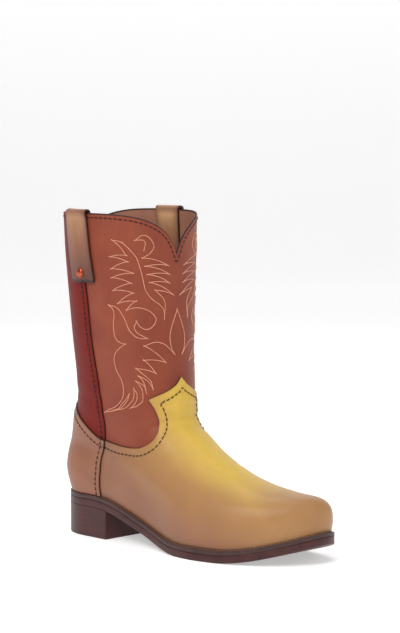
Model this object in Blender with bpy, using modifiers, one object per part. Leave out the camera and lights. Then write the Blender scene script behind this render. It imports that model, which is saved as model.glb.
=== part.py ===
"""Roper boot for the right foot, standing empty on its heel and on the ball of its sole.

The upper is drawn on a last. The last is a stack of closed sections: the lowest lies on the
welt and follows the arch, the next ones tip back until they run round heel and instep, and
the highest ones are the level ovals of the shaft. Every piece of leather is cut from that
one surface, which is called the skin here.

A place on the skin is (u, v). u goes round the boot: 0 is the middle of the back, 0.25 the
outer side seam, 0.5 the middle of the front and 0.75 the inner side seam. v climbs through
the sections: 0 is the feather line at the welt, one more for each section above it.

Metres. +X points to the toe, +Z up, -Y to the outer side. Stations along the boot are
measured from the back of the sole. The origin is the middle of the heel's base.
"""

import math
from collections import namedtuple

import bmesh
import bpy
import numpy as np
from mathutils import Vector

# Sole, along and across
SOLE_LENGTH = 0.300
SOLE_EDGE = 0.0045
BALL_WIDTH = 0.097
WAIST_WIDTH = 0.069
HEEL_WIDTH = 0.068
TOE_SWING = 0.022

# Sole, upwards
HEEL_LENGTH = 0.074
HEEL_HEIGHT = 0.029
TOE_SPRING = 0.018
OUTSOLE_THICKNESS = 0.007
WELT_THICKNESS = 0.004
WELT_WIDTH = 0.0085
INSOLE_THICKNESS = 0.0045

# Ankle and shaft
ANKLE_RISE = 0.086
SHAFT_RISE = 0.184
SHAFT_DEPTH = 0.125
SHAFT_WIDTH = 0.122
SHAFT_STATION = 0.069
FRONT_SCALLOP = 0.038
BACK_SCALLOP = 0.020

# Leathers and the clearance between pieces
UPPER_WALL = 0.0018
PANEL_LEATHER = 0.0012
FIT = 0.0003

# Pull straps and rivets
STRAP_WIDTH = 0.027
STRAP_BEHIND_SEAM = 0.004
STRAP_LEATHER = 0.0022
STRAP_OUTER_LEG = 0.0655
STRAP_INNER_LEG = 0.055
STRAP_LOOP_RISE = 0.003
RIVET_DIAMETER = 0.009
RIVET_DOME = 0.0018
RIVET_FROM_END = 0.009

# Shares of the sole's and the heel's length where the underside bends
SHANK_START = 0.73
BALL_START = 0.60
BALL_END = 0.74
SPRING_POWER = 1.8
SWING_START = 0.55
SWING_POWER = 1.7
CAP_POWER = 2.1

# Collar: the scallops are powers of the way from the side seam to the middle, and the
# front one adds a notch
SCALLOP_POWER = 4
NOTCH_POWER = 18
NOTCH_SHARE = 0.25

# Sections of the foot, from the welt to the ankle. Lengths are shares of the foot's length
# inside the sole edge, heights are shares of ANKLE_RISE, widths are shares of the named
# widths, and the stations heel_at, waist_at and ball_at are shares of the section's length.
# follow says how much a section keeps to the arch below it, swing how much it turns in.
FootRow = namedtuple(
    "FootRow",
    "back_x back_z front_x front_z heel_at waist_at ball_at heel waist_outer waist_inner"
    " ball_outer ball_inner follow swing seam",
)
FOOT = [
    FootRow(0.000, 0.00, 1.000, 0.000, 0.130, 0.40, 0.680, 1.00, 1.02, 0.88, 1.00, 1.00, 1.0, 1.0, 0.217),
    FootRow(-0.006, 0.10, 1.005, 0.120, 0.130, 0.40, 0.675, 1.07, 1.10, 0.98, 1.04, 1.03, 1.0, 1.0, 0.220),
    FootRow(-0.013, 0.20, 0.998, 0.242, 0.132, 0.40, 0.665, 1.11, 1.15, 1.06, 1.03, 1.01, 0.9, 1.0, 0.225),
    FootRow(-0.017, 0.29, 0.965, 0.328, 0.140, 0.41, 0.650, 1.11, 1.15, 1.10, 0.99, 0.96, 0.7, 1.0, 0.229),
    FootRow(-0.017, 0.38, 0.895, 0.376, 0.160, 0.42, 0.630, 1.09, 1.15, 1.12, 0.93, 0.90, 0.5, 0.9, 0.230),
    FootRow(-0.014, 0.47, 0.792, 0.430, 0.190, 0.43, 0.600, 1.06, 1.15, 1.13, 0.85, 0.84, 0.3, 0.6, 0.235),
    FootRow(-0.008, 0.57, 0.690, 0.510, 0.240, 0.44, 0.565, 1.05, 1.14, 1.13, 0.79, 0.78, 0.1, 0.3, 0.246),
    FootRow(0.001, 0.68, 0.585, 0.648, 0.320, 0.44, 0.540, 1.13, 1.15, 1.15, 0.80, 0.80, 0.0, 0.1, 0.259),
    FootRow(0.010, 0.82, 0.503, 0.825, 0.420, 0.47, 0.520, 1.22, 1.21, 1.21, 0.86, 0.86, 0.0, 0.0, 0.266),
]

# Sections of the shaft. height is a share of SHAFT_RISE. centre and seam are shares of
# SHAFT_DEPTH: how far the section's middle lies ahead of SHAFT_STATION, and how far the
# side seam lies ahead of that middle. depth and width are shares of the shaft's own.
ShaftRow = namedtuple("ShaftRow", "height centre depth width seam")
SHAFT = [
    ShaftRow(0.00, 0.065, 1.02, 0.75, 0.007),
    ShaftRow(0.15, 0.050, 0.97, 0.79, -0.002),
    ShaftRow(0.35, 0.030, 0.95, 0.87, -0.006),
    ShaftRow(0.60, 0.015, 0.96, 0.94, -0.007),
    ShaftRow(0.80, 0.004, 0.98, 0.98, -0.040),
    ShaftRow(1.00, 0.000, 1.00, 1.00, -0.072),
]

# Edges of the overlays on the skin, (u, v) from the outer side seam to the middle
VAMP_LOBE = [(0.251, 6.98), (0.300, 6.76), (0.345, 6.88), (0.385, 7.32), (0.413, 7.90), (0.4255, 8.50),
             (0.4225, 9.00), (0.4066, 9.46)]
VAMP_BARB_TO_PEAK = [(0.4066, 9.46), (0.4545, 9.75), (0.4750, 9.95), (0.5000, 10.25)]
COUNTER_TOP = [(0.0000, 8.70), (0.0500, 8.65), (0.1065, 8.42), (0.1675, 7.83), (0.2183, 7.20), (0.2520, 6.98)]
VAMP_REAR = VAMP_LOBE[0][0]
COUNTER_FRONT = COUNTER_TOP[-1][0]
OVERLAY_FOOT = 0.07
EDGE_STEPS = 4

# Grid of the skin
BACK_COLUMNS = 8
FRONT_COLUMNS = 17
TOE_CROWDING = 1.2
GRID_ROWS = [0.0, 0.7, 1.4, 2.1, 2.8, 3.5, 4.2, 4.8, 5.4, 6.0, 6.5, 7.0, 7.5, 8.0, 8.5, 9.0, 9.5, 10.0,
             10.5, 11.3, 12.2, 13.1, 14.0]
SOLE_STATIONS = 36
STRAP_COLUMNS = 4
LEG_STEPS = 4
LOOP_STEPS = 6
RIVET_STEPS = 16
OUTLINE_POINTS = 181
HALF_TURN = 0.5
SEAM_U = 0.25
SHORT_TURN = 0.02
SHARP_ANGLE = math.radians(40)
SAME_PLACE = 1e-6

Section = namedtuple(
    "Section",
    "back_x back_z front_x front_z heel_at waist_at ball_at heel waist_outer waist_inner"
    " ball_outer ball_inner follow swing seam_x",
)


def ease(t):
    """Smooth step from 0 to 1."""
    return t * t * (3 - 2 * t)


def sole_underside(x):
    """Height of the outsole's underside at a station: heel seat, shank, ball, toe spring."""
    shank = SHANK_START * HEEL_LENGTH
    ball_start = BALL_START * SOLE_LENGTH
    ball_end = BALL_END * SOLE_LENGTH
    down = np.clip((x - shank) / (ball_start - shank), 0, 1)
    up = np.clip((x - ball_end) / (SOLE_LENGTH - ball_end), 0, None)
    return HEEL_HEIGHT * (1 - ease(down)) + TOE_SPRING * up ** SPRING_POWER


def feather_height(x):
    """Height of the welt's top, where the upper starts."""
    return sole_underside(x) + OUTSOLE_THICKNESS + WELT_THICKNESS + 2 * FIT


def swing_in(x, share):
    """How far the foot's middle turns to the inner side at a station."""
    ahead = np.clip((x / SOLE_LENGTH - SWING_START) / (1 - SWING_START), 0, None)
    return share * TOE_SWING * ahead ** SWING_POWER


def foot_section(row):
    """One section of the foot in metres."""
    length = SOLE_LENGTH - 2 * SOLE_EDGE
    heel_top = feather_height(SOLE_EDGE)
    toe_top = feather_height(SOLE_LENGTH - SOLE_EDGE)
    ankle = heel_top + ANKLE_RISE
    return Section(
        SOLE_EDGE + row.back_x * length,
        heel_top + row.back_z * ANKLE_RISE,
        SOLE_EDGE + row.front_x * length,
        toe_top + row.front_z * (ankle - toe_top),
        row.heel_at,
        row.waist_at,
        row.ball_at,
        row.heel * HEEL_WIDTH / 2,
        row.waist_outer * WAIST_WIDTH / 2,
        row.waist_inner * WAIST_WIDTH / 2,
        row.ball_outer * BALL_WIDTH / 2,
        row.ball_inner * BALL_WIDTH / 2,
        row.follow,
        row.swing,
        row.seam * length,
    )


def shaft_section(row):
    """One level oval of the shaft in metres."""
    middle = SHAFT_STATION + row.centre * SHAFT_DEPTH
    reach = row.depth * SHAFT_DEPTH / 2
    half = row.width * SHAFT_WIDTH / 2
    z = feather_height(SOLE_EDGE) + ANKLE_RISE + row.height * SHAFT_RISE
    seam = middle + row.seam * SHAFT_DEPTH
    return Section(
        middle - reach, z, middle + reach, z, 0.5, 0.5, 0.5, half, half, half, half, half, 0, 0, seam
    )


SECTIONS = np.array([foot_section(row) for row in FOOT] + [shaft_section(row) for row in SHAFT])
ANKLE_V = len(FOOT)
COLLAR_V = len(FOOT) + len(SHAFT) - 1


def section_at(v):
    """Section at any v: a smooth curve through each column of the sections."""
    below = min(int(v), COLLAR_V - 1)
    t = v - below
    slopes = np.gradient(SECTIONS, axis=0)
    start = (2 * t**3 - 3 * t**2 + 1) * SECTIONS[below] + (t**3 - 2 * t**2 + t) * slopes[below]
    end = (3 * t**2 - 2 * t**3) * SECTIONS[below + 1] + (t**3 - t**2) * slopes[below + 1]
    return Section(*(start + end))


def half_outline(section, side):
    """Points from back to front on one side of a section. side is -1 outer, 1 inner."""
    waist = section.waist_outer if side < 0 else section.waist_inner
    ball = section.ball_outer if side < 0 else section.ball_inner
    s = 0.5 * (1 - np.cos(np.linspace(0, math.pi, OUTLINE_POINTS)))
    back = np.clip(1 - s / section.heel_at, 0, 1)
    front = np.clip((s - section.ball_at) / (1 - section.ball_at), 0, 1)
    to_waist = np.clip((s - section.heel_at) / max(section.waist_at - section.heel_at, SAME_PLACE), 0, 1)
    to_ball = np.clip((s - section.waist_at) / max(section.ball_at - section.waist_at, SAME_PLACE), 0, 1)
    width = section.heel + (waist - section.heel) * ease(to_waist) + (ball - waist) * ease(to_ball)
    width = width * (1 - back**CAP_POWER) ** (1 / CAP_POWER) * (1 - front**CAP_POWER) ** (1 / CAP_POWER)
    x = section.back_x + s * (section.front_x - section.back_x)
    z = section.back_z + s * (section.front_z - section.back_z)
    heel_end = feather_height(SOLE_EDGE)
    toe_end = feather_height(SOLE_LENGTH - SOLE_EDGE)
    along = (x - SOLE_EDGE) / (SOLE_LENGTH - 2 * SOLE_EDGE)
    z = z + section.follow * (feather_height(x) - heel_end - along * (toe_end - heel_end))
    y = side * width + swing_in(x, section.swing)
    return np.stack([x, y, z], axis=1)


def collar_drop(u):
    """How far the collar dips below its highest level: a notched V in front, a scallop behind."""
    from_seam = (abs(u % 1 - HALF_TURN) - SEAM_U) / SEAM_U
    if from_seam < 0:
        curve = (1 - NOTCH_SHARE) * (-from_seam) ** SCALLOP_POWER + NOTCH_SHARE * (-from_seam) ** NOTCH_POWER
        return FRONT_SCALLOP * curve
    return BACK_SCALLOP * from_seam**SCALLOP_POWER


def shaft_share(v):
    """Share of the shaft's height at v, for v above the ankle."""
    return np.interp(v, range(ANKLE_V, COLLAR_V + 1), [row.height for row in SHAFT])


def skin(u, v):
    """Point of the last at (u, v). Above the ankle v counts shares of the way to the collar."""
    if v > ANKLE_V:
        share = shaft_share(v) * (1 - collar_drop(u) / SHAFT_RISE)
        v = np.interp(share, [row.height for row in SHAFT], range(ANKLE_V, COLLAR_V + 1))
    section = section_at(v)
    turn = u % 1
    side = -1 if turn <= HALF_TURN else 1
    turn = min(turn, 1 - turn)
    points = half_outline(section, side)
    steps = np.linalg.norm(np.diff(points[:, :2], axis=0), axis=1)
    length = np.concatenate([[0], np.cumsum(steps)])
    seam = np.interp(section.seam_x, points[:, 0], length)
    if turn <= SEAM_U:
        target = seam * turn / SEAM_U
    else:
        target = seam + (length[-1] - seam) * (turn - SEAM_U) / SEAM_U
    return np.array([np.interp(target, length, points[:, axis]) for axis in range(3)])


def grid_columns():
    """Places u of the grid's columns, closer together towards the toe."""
    back = [SEAM_U * k / BACK_COLUMNS for k in range(BACK_COLUMNS)]
    front = [SEAM_U + SEAM_U * (1 - (1 - k / FRONT_COLUMNS) ** TOE_CROWDING) for k in range(FRONT_COLUMNS)]
    half = back + front + [HALF_TURN]
    return half + [1 - u for u in reversed(half[:-1])]


COLUMNS = grid_columns()
SKIN_GRID = np.array([[skin(u, v) for u in COLUMNS] for v in GRID_ROWS])


def grid_normals():
    """Outward unit normals at the grid's points, level along the feather line."""
    closed = np.concatenate([SKIN_GRID[:, -2:-1], SKIN_GRID, SKIN_GRID[:, 1:2]], axis=1)
    round_boot = closed[:, 2:] - closed[:, :-2]
    up_boot = np.gradient(SKIN_GRID, axis=0)
    normals = np.cross(round_boot, up_boot)
    normals[0, :, 2] = 0
    return normals / np.linalg.norm(normals, axis=2, keepdims=True)


SKIN_NORMALS = grid_normals()


def on_skin(u, v, lift=0.0):
    """Point lifted off the facets of the skin's grid, and the outward normal there."""
    turn = u % 1
    column = min(int(np.searchsorted(COLUMNS, turn, side="right")) - 1, len(COLUMNS) - 2)
    row = min(int(np.searchsorted(GRID_ROWS, v, side="right")) - 1, len(GRID_ROWS) - 2)
    s = (turn - COLUMNS[column]) / (COLUMNS[column + 1] - COLUMNS[column])
    t = (v - GRID_ROWS[row]) / (GRID_ROWS[row + 1] - GRID_ROWS[row])
    weights = np.array([[(1 - s) * (1 - t), s * (1 - t)], [(1 - s) * t, s * t]])[:, :, None]
    point = (weights * SKIN_GRID[row:row + 2, column:column + 2]).sum(axis=(0, 1))
    normal = (weights * SKIN_NORMALS[row:row + 2, column:column + 2]).sum(axis=(0, 1))
    normal = normal / np.linalg.norm(normal)
    return point + lift * normal, normal


def leather(name, colour, roughness, metallic=0.0):
    """Material of one finish."""
    material = bpy.data.materials.new(name)
    material.use_nodes = True
    shader = material.node_tree.nodes["Principled BSDF"]
    shader.inputs["Base Color"].default_value = (*colour, 1.0)
    shader.inputs["Roughness"].default_value = roughness
    shader.inputs["Metallic"].default_value = metallic
    return material


def add_piece(name, mesh, material, boot):
    """Object of one piece, standing in the boot's frame."""
    piece = bpy.data.objects.new(name, mesh)
    piece.parent = boot["origin"]
    mesh.materials.append(material)
    boot["collection"].objects.link(piece)
    mesh.shade_smooth()
    mesh.set_sharp_from_angle(angle=SHARP_ANGLE)
    return piece


def mesh_from(bm, name):
    """Mesh of a finished bmesh."""
    mesh = bpy.data.meshes.new(name)
    bm.to_mesh(mesh)
    bm.free()
    return mesh


def sheet_of_rows(rows, closed):
    """Open sheet through rows of points, joined round where the rows are closed."""
    bm = bmesh.new()
    verts = [[bm.verts.new(point) for point in row] for row in rows]
    for low, high in zip(verts, verts[1:]):
        spans = len(low) if closed else len(low) - 1
        for k in range(spans):
            following = (k + 1) % len(low)
            bm.faces.new((low[k], low[following], high[following], high[k]))
    return bm


def add_wall(piece, thickness, offset):
    """Leather's thickness, inwards for offset -1 and outwards for 1."""
    wall = piece.modifiers.new("leather", "SOLIDIFY")
    wall.thickness = thickness
    wall.offset = offset
    wall.use_even_offset = True
    wall.use_quality_normals = True


def make_upper(boot, material):
    """The hollow upper: the whole skin as one wall, open at the collar and underneath."""
    rows = [row[:-1] for row in SKIN_GRID]
    upper = add_piece("upper", mesh_from(sheet_of_rows(rows, closed=True), "upper"), material, boot)
    add_wall(upper, UPPER_WALL, -1)


def spline(points, steps):
    """Smooth curve through points, with its last point left out."""
    knots = np.array(points)
    slopes = np.gradient(knots, axis=0)
    curve = []
    for k in range(len(knots) - 1):
        for step in range(steps):
            t = step / steps
            start = (2 * t**3 - 3 * t**2 + 1) * knots[k] + (t**3 - 2 * t**2 + t) * slopes[k]
            end = (3 * t**2 - 2 * t**3) * knots[k + 1] + (t**3 - t**2) * slopes[k + 1]
            curve.append(tuple(start + end))
    return curve


def diced(outline):
    """Flat pattern piece on the (u, v) plane, diced along the skin's grid lines."""
    bm = bmesh.new()
    bm.faces.new([bm.verts.new((u, v, 0)) for u, v in outline])
    lines = [(u + turn, (1, 0, 0)) for turn in (-1, 0, 1) for u in COLUMNS[:-1]]
    lines = [((u, 0, 0), normal) for u, normal in lines] + [((0, v, 0), (0, 1, 0)) for v in GRID_ROWS]
    for point, normal in lines:
        geometry = bm.verts[:] + bm.edges[:] + bm.faces[:]
        bmesh.ops.bisect_plane(bm, geom=geometry, dist=SAME_PLACE, plane_co=point, plane_no=normal)
    return bm


def lay_on_skin(bm, lift):
    """Wrap a pattern piece round the boot, lifted off the skin."""
    for vert in bm.verts:
        point, _ = on_skin(vert.co.x, vert.co.y, lift)
        vert.co = point


def add_overlay(name, outline, lift, boot, material):
    """One leather overlay, from its outline on the skin."""
    bm = diced(outline)
    lay_on_skin(bm, lift)
    overlay = add_piece(name, mesh_from(bm, name), material, boot)
    add_wall(overlay, PANEL_LEATHER, 1)


def make_vamp(boot, material):
    """The vamp, from the side seams round the toe, with a peak, two barbs and two lobes."""
    edge = spline(VAMP_LOBE, EDGE_STEPS) + spline(VAMP_BARB_TO_PEAK, EDGE_STEPS)
    top = edge + [VAMP_BARB_TO_PEAK[-1]] + [(1 - u, v) for u, v in reversed(edge)]
    outline = [(VAMP_REAR, OVERLAY_FOOT), (1 - VAMP_REAR, OVERLAY_FOOT)] + list(reversed(top))
    add_overlay("vamp", outline, FIT, boot, material)


def make_back_panel(boot, material):
    """The back panel, between the side seams from the feather line to the collar."""
    outline = [(-SEAM_U, OVERLAY_FOOT), (SEAM_U, OVERLAY_FOOT), (SEAM_U, COLLAR_V), (-SEAM_U, COLLAR_V)]
    add_overlay("back_panel", outline, FIT, boot, material)


def make_counter(boot, material):
    """The heel counter over the back panel, lapping onto the vamp's rear edges."""
    top = spline(COUNTER_TOP, EDGE_STEPS) + [COUNTER_TOP[-1]]
    left = [(-u, v) for u, v in reversed(top[1:])]
    outline = [(-COUNTER_FRONT, OVERLAY_FOOT), (COUNTER_FRONT, OVERLAY_FOOT)] + list(reversed(left + top))
    add_overlay("counter", outline, 3 * FIT + PANEL_LEATHER, boot, material)


def strap_path():
    """Places along a pull strap: distance above the collar, and lift off the skin."""
    outer = 3 * FIT + PANEL_LEATHER
    inner = -(UPPER_WALL + 2 * FIT)
    radius = (outer - inner) / 2
    path = [(-STRAP_OUTER_LEG * (1 - k / LEG_STEPS), outer) for k in range(LEG_STEPS)]
    for k in range(LOOP_STEPS + 1):
        angle = math.pi * k / LOOP_STEPS
        height = STRAP_LOOP_RISE + radius * math.sin(angle)
        path.append((height, (outer + inner) / 2 + radius * math.cos(angle)))
    return path + [(-STRAP_INNER_LEG * k / LEG_STEPS, inner) for k in range(1, LEG_STEPS + 1)]


def strap_place(across, height, lift, side):
    """Point of a pull strap, its distance across measured from the strap's middle line."""
    chord = skin(SEAM_U, COLLAR_V) - skin(SEAM_U - SHORT_TURN, COLLAR_V)
    reach = np.linalg.norm(chord) / SHORT_TURN
    u = SEAM_U + (across - STRAP_BEHIND_SEAM) / reach
    u = u if side < 0 else 1 - u
    below = min(height, 0)
    share = 1 + below / (SHAFT_RISE - collar_drop(u))
    v = np.interp(share, [row.height for row in SHAFT], range(ANKLE_V, COLLAR_V + 1))
    point, normal = on_skin(u, v, 0)
    level = np.array([normal[0], normal[1], 0])
    return point + lift * level / np.linalg.norm(level) + np.array([0, 0, max(height, 0)])


def make_strap(name, side, boot, material):
    """A pull strap: a leather loop over the collar, its legs on both faces of the wall."""
    widths = [STRAP_WIDTH * (k / STRAP_COLUMNS - 0.5) for k in range(STRAP_COLUMNS + 1)]
    if side > 0:
        widths.reverse()
    rows = [[strap_place(across, height, lift, side) for across in widths] for height, lift in strap_path()]
    strap = add_piece(name, mesh_from(sheet_of_rows(rows, closed=False), name), material, boot)
    add_wall(strap, STRAP_LEATHER, 1)


def make_rivet(name, side, boot, material):
    """Domed rivet head on the outer leg of a pull strap."""
    radius = RIVET_DIAMETER / 2
    steps = RIVET_STEPS // 4
    arc = [math.pi / 2 * k / steps for k in range(steps + 1)]
    profile = [(radius * math.sin(angle), 0, RIVET_DOME * math.cos(angle)) for angle in arc] + [(0, 0, 0)]
    bm = bmesh.new()
    verts = [bm.verts.new(point) for point in profile]
    for low, high in zip(verts, verts[1:]):
        bm.edges.new((low, high))
    rivet = add_piece(name, mesh_from(bm, name), material, boot)
    turn = rivet.modifiers.new("turned", "SCREW")
    turn.steps = RIVET_STEPS
    turn.render_steps = RIVET_STEPS
    turn.use_merge_vertices = True
    turn.merge_threshold = SAME_PLACE
    height = RIVET_FROM_END - STRAP_OUTER_LEG
    seat = strap_place(0, height, 4 * FIT + PANEL_LEATHER + STRAP_LEATHER, side)
    outward = seat - strap_place(0, height, 0, side)
    rivet.location = seat
    rivet.rotation_euler = Vector(outward).to_track_quat("Z", "Y").to_euler()


def sole_edges(inset):
    """The sole's outer and inner edge in plan, from heel to toe, moved in by inset."""
    edges = []
    for side in (-1, 1):
        points = half_outline(section_at(0), side)[:, :2]
        along = np.gradient(points, axis=0)
        along = along / np.linalg.norm(along, axis=1, keepdims=True)
        outward = -side * np.stack([along[:, 1], -along[:, 0]], axis=1)
        edges.append(points + outward * (SOLE_EDGE - inset))
    picked = np.linspace(0, OUTLINE_POINTS - 1, SOLE_STATIONS + 1).astype(int)
    outer, inner = edges[0][picked], edges[1][picked]
    outer[0] = inner[0] = (outer[0] + inner[0]) / 2
    outer[-1] = inner[-1] = (outer[-1] + inner[-1]) / 2
    return outer, inner


def thickened(bm, rise):
    """Close an open sheet into a plate by extruding it straight up or down."""
    made = bmesh.ops.extrude_face_region(bm, geom=bm.faces[:])
    moved = [item for item in made["geom"] if isinstance(item, bmesh.types.BMVert)]
    for vert in moved:
        vert.co.z = rise(vert.co)
    bmesh.ops.recalc_face_normals(bm, faces=bm.faces[:])
    return bm


def sole_sheet(outer, inner, lift):
    """Open sheet between the two edges, following the sole's underside at a height above it."""
    rows = [
        [(*left, sole_underside(left[0]) + lift), (*right, sole_underside(right[0]) + lift)]
        for left, right in zip(outer, inner)
    ]
    bm = sheet_of_rows(rows, closed=False)
    bmesh.ops.remove_doubles(bm, verts=bm.verts[:], dist=SAME_PLACE)
    return bm


def add_plate(name, inset, lift, thickness, boot, material):
    """One layer of the sole over its whole outline."""
    bm = sole_sheet(*sole_edges(inset), lift)
    thickened(bm, lambda co: co.z + thickness)
    return add_piece(name, mesh_from(bm, name), material, boot)


def make_outsole(boot, material):
    """The leather outsole with heel seat, arch, flat ball and toe spring."""
    add_plate("outsole", 0, 0, OUTSOLE_THICKNESS, boot, material)


def make_insole(boot, material):
    """The insole, lying on the outsole inside the welt."""
    add_plate("insole", WELT_WIDTH + FIT, OUTSOLE_THICKNESS + FIT, INSOLE_THICKNESS, boot, material)


def make_welt(boot, material):
    """The welt: a strip round the whole sole between outsole and upper."""
    loops = []
    for inset in (0, WELT_WIDTH):
        outer, inner = sole_edges(inset)
        loop = np.concatenate([outer, inner[-2:0:-1]])
        loops.append([(*point, sole_underside(point[0]) + OUTSOLE_THICKNESS + FIT) for point in loop])
    bm = thickened(sheet_of_rows(loops, closed=True), lambda co: co.z + WELT_THICKNESS)
    add_piece("welt", mesh_from(bm, "welt"), material, boot)


def make_heel(boot, material):
    """The block heel: the sole's outline back to a straight breast, down to the floor."""
    sides = []
    for edge in sole_edges(0):
        kept = edge[edge[:, 0] < HEEL_LENGTH - FIT]
        breast_y = np.interp(HEEL_LENGTH, edge[:, 0], edge[:, 1])
        sides.append(np.vstack([kept, [HEEL_LENGTH, breast_y]]))
    count = min(len(side) for side in sides)
    outer, inner = (np.vstack([side[:count - 1], side[-1]]) for side in sides)
    bm = thickened(sole_sheet(outer, inner, -FIT), lambda co: 0.0)
    add_piece("heel", mesh_from(bm, "heel"), material, boot)


def main():
    """Build the boot."""
    for old in list(bpy.data.objects):
        bpy.data.objects.remove(old, do_unlink=True)
    collection = bpy.data.collections.new("roper_boot")
    bpy.context.scene.collection.children.link(collection)
    origin = bpy.data.objects.new("boot_origin", None)
    origin.location = (-HEEL_LENGTH / 2, 0, 0)
    collection.objects.link(origin)
    boot = {"collection": collection, "origin": origin}

    shaft_red = leather("shaft_leather", (0.27, 0.055, 0.030), 0.45)
    back_red = leather("back_leather", (0.20, 0.025, 0.020), 0.45)
    vamp_gold = leather("vamp_leather", (0.62, 0.40, 0.16), 0.42)
    counter_brown = leather("counter_leather", (0.35, 0.17, 0.10), 0.45)
    strap_brown = leather("strap_leather", (0.36, 0.19, 0.11), 0.50)
    insole_tan = leather("insole_leather", (0.45, 0.28, 0.17), 0.70)
    sole_brown = leather("sole_leather", (0.10, 0.040, 0.038), 0.40)
    welt_brown = leather("welt_leather", (0.13, 0.065, 0.055), 0.50)
    copper = leather("copper", (0.72, 0.20, 0.10), 0.35, metallic=1.0)

    make_upper(boot, shaft_red)
    make_back_panel(boot, back_red)
    make_vamp(boot, vamp_gold)
    make_counter(boot, counter_brown)
    for side, place in ((-1, "outer"), (1, "inner")):
        make_strap(f"pull_strap_{place}", side, boot, strap_brown)
        make_rivet(f"rivet_{place}", side, boot, copper)
    make_insole(boot, insole_tan)
    make_welt(boot, welt_brown)
    make_outsole(boot, sole_brown)
    make_heel(boot, sole_brown)


main()
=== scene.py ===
# %% [markdown]
# # A roper boot, dressed over its frame
#
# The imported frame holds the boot's solids at their real size. This file makes what the eye sees:
# fine leather over the same last, cut edges, stitches, the ornament sewn on the shaft, the sole's
# edge finish, and the light. A place on the boot is a pair (u, v). u goes once round it: 0 is the
# middle of the back, 0.25 the outer side seam, 0.5 the middle of the front and 0.75 the inner
# seam. v climbs: 0 is the welt, 9 the ankle and 14 the collar.

# %% Load the frame
import math
from collections import namedtuple

import bmesh
import bpy
import numpy as np
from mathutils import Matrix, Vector
from mathutils.geometry import delaunay_2d_cdt


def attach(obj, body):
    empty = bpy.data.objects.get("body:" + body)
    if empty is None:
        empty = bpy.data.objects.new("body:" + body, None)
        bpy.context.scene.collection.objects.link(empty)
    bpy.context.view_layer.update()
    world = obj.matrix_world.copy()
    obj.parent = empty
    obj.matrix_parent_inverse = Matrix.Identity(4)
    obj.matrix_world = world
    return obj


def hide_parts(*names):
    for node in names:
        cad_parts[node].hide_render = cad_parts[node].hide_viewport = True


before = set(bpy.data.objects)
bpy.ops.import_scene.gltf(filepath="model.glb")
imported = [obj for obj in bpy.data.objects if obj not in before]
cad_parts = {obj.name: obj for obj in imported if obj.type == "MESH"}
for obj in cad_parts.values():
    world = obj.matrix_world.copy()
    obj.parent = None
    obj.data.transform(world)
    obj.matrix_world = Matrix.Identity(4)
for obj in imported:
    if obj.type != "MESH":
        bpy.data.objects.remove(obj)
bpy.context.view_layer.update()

# %% [markdown]
# ## The last
#
# A bootmaker pulls the leather over a last. Here the last is a stack of closed sections. The
# first ones lie on the welt and tip back until they run round heel and instep, and the others are
# the level ovals of the shaft. The sizes are the frame's own, so that what is drawn on this last
# lies on the solids. Each table row is one section, with lengths as shares of the named sizes.

# %% Sizes of the last
MM = 0.001
SOLE_LENGTH, SOLE_EDGE = 300 * MM, 4.5 * MM
BALL_WIDTH, WAIST_WIDTH, HEEL_WIDTH, TOE_SWING = 97 * MM, 69 * MM, 68 * MM, 22 * MM
HEEL_LENGTH, HEEL_HEIGHT, TOE_SPRING = 74 * MM, 29 * MM, 18 * MM
OUTSOLE_THICKNESS, WELT_THICKNESS, WELT_WIDTH = 7 * MM, 4 * MM, 8.5 * MM
INSOLE_THICKNESS, FIT, SMALL_GAP = 4.5 * MM, 0.3 * MM, 0.05 * MM
ANKLE_RISE, SHAFT_RISE, SHAFT_DEPTH, SHAFT_WIDTH = 86 * MM, 184 * MM, 125 * MM, 122 * MM
SHAFT_STATION, FRONT_SCALLOP, BACK_SCALLOP = 69 * MM, 38 * MM, 20 * MM
SHANK_START, BALL_START, BALL_END, SPRING_POWER = 0.73, 0.60, 0.74, 1.8
SWING_START, SWING_POWER, CAP_POWER = 0.55, 1.7, 2.1
SCALLOP_POWER, NOTCH_POWER, NOTCH_SHARE = 4, 18, 0.25
SEAM_U, FRONT_U = 0.25, 0.5

FootRow = namedtuple(
    "FootRow",
    "back_x back_z front_x front_z heel_at waist_at ball_at heel waist_outer waist_inner"
    " ball_outer ball_inner follow swing seam",
)
FOOT = [
    FootRow(0.000, 0.00, 1.000, 0.000, 0.130, 0.40, 0.680, 1.00, 1.02, 0.88, 1.00, 1.00, 1.0, 1.0, 0.217),
    FootRow(-0.006, 0.10, 1.005, 0.120, 0.130, 0.40, 0.675, 1.07, 1.10, 0.98, 1.04, 1.03, 1.0, 1.0, 0.220),
    FootRow(-0.013, 0.20, 0.998, 0.242, 0.132, 0.40, 0.665, 1.11, 1.15, 1.06, 1.03, 1.01, 0.9, 1.0, 0.225),
    FootRow(-0.017, 0.29, 0.965, 0.328, 0.140, 0.41, 0.650, 1.11, 1.15, 1.10, 0.99, 0.96, 0.7, 1.0, 0.229),
    FootRow(-0.017, 0.38, 0.895, 0.376, 0.160, 0.42, 0.630, 1.09, 1.15, 1.12, 0.93, 0.90, 0.5, 0.9, 0.230),
    FootRow(-0.014, 0.47, 0.792, 0.430, 0.190, 0.43, 0.600, 1.06, 1.15, 1.13, 0.85, 0.84, 0.3, 0.6, 0.235),
    FootRow(-0.008, 0.57, 0.690, 0.510, 0.240, 0.44, 0.565, 1.05, 1.14, 1.13, 0.79, 0.78, 0.1, 0.3, 0.246),
    FootRow(0.001, 0.68, 0.585, 0.648, 0.320, 0.44, 0.540, 1.13, 1.15, 1.15, 0.80, 0.80, 0.0, 0.1, 0.259),
    FootRow(0.010, 0.82, 0.503, 0.825, 0.420, 0.47, 0.520, 1.22, 1.21, 1.21, 0.86, 0.86, 0.0, 0.0, 0.266),
]
ShaftRow = namedtuple("ShaftRow", "height centre depth width seam")
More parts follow.
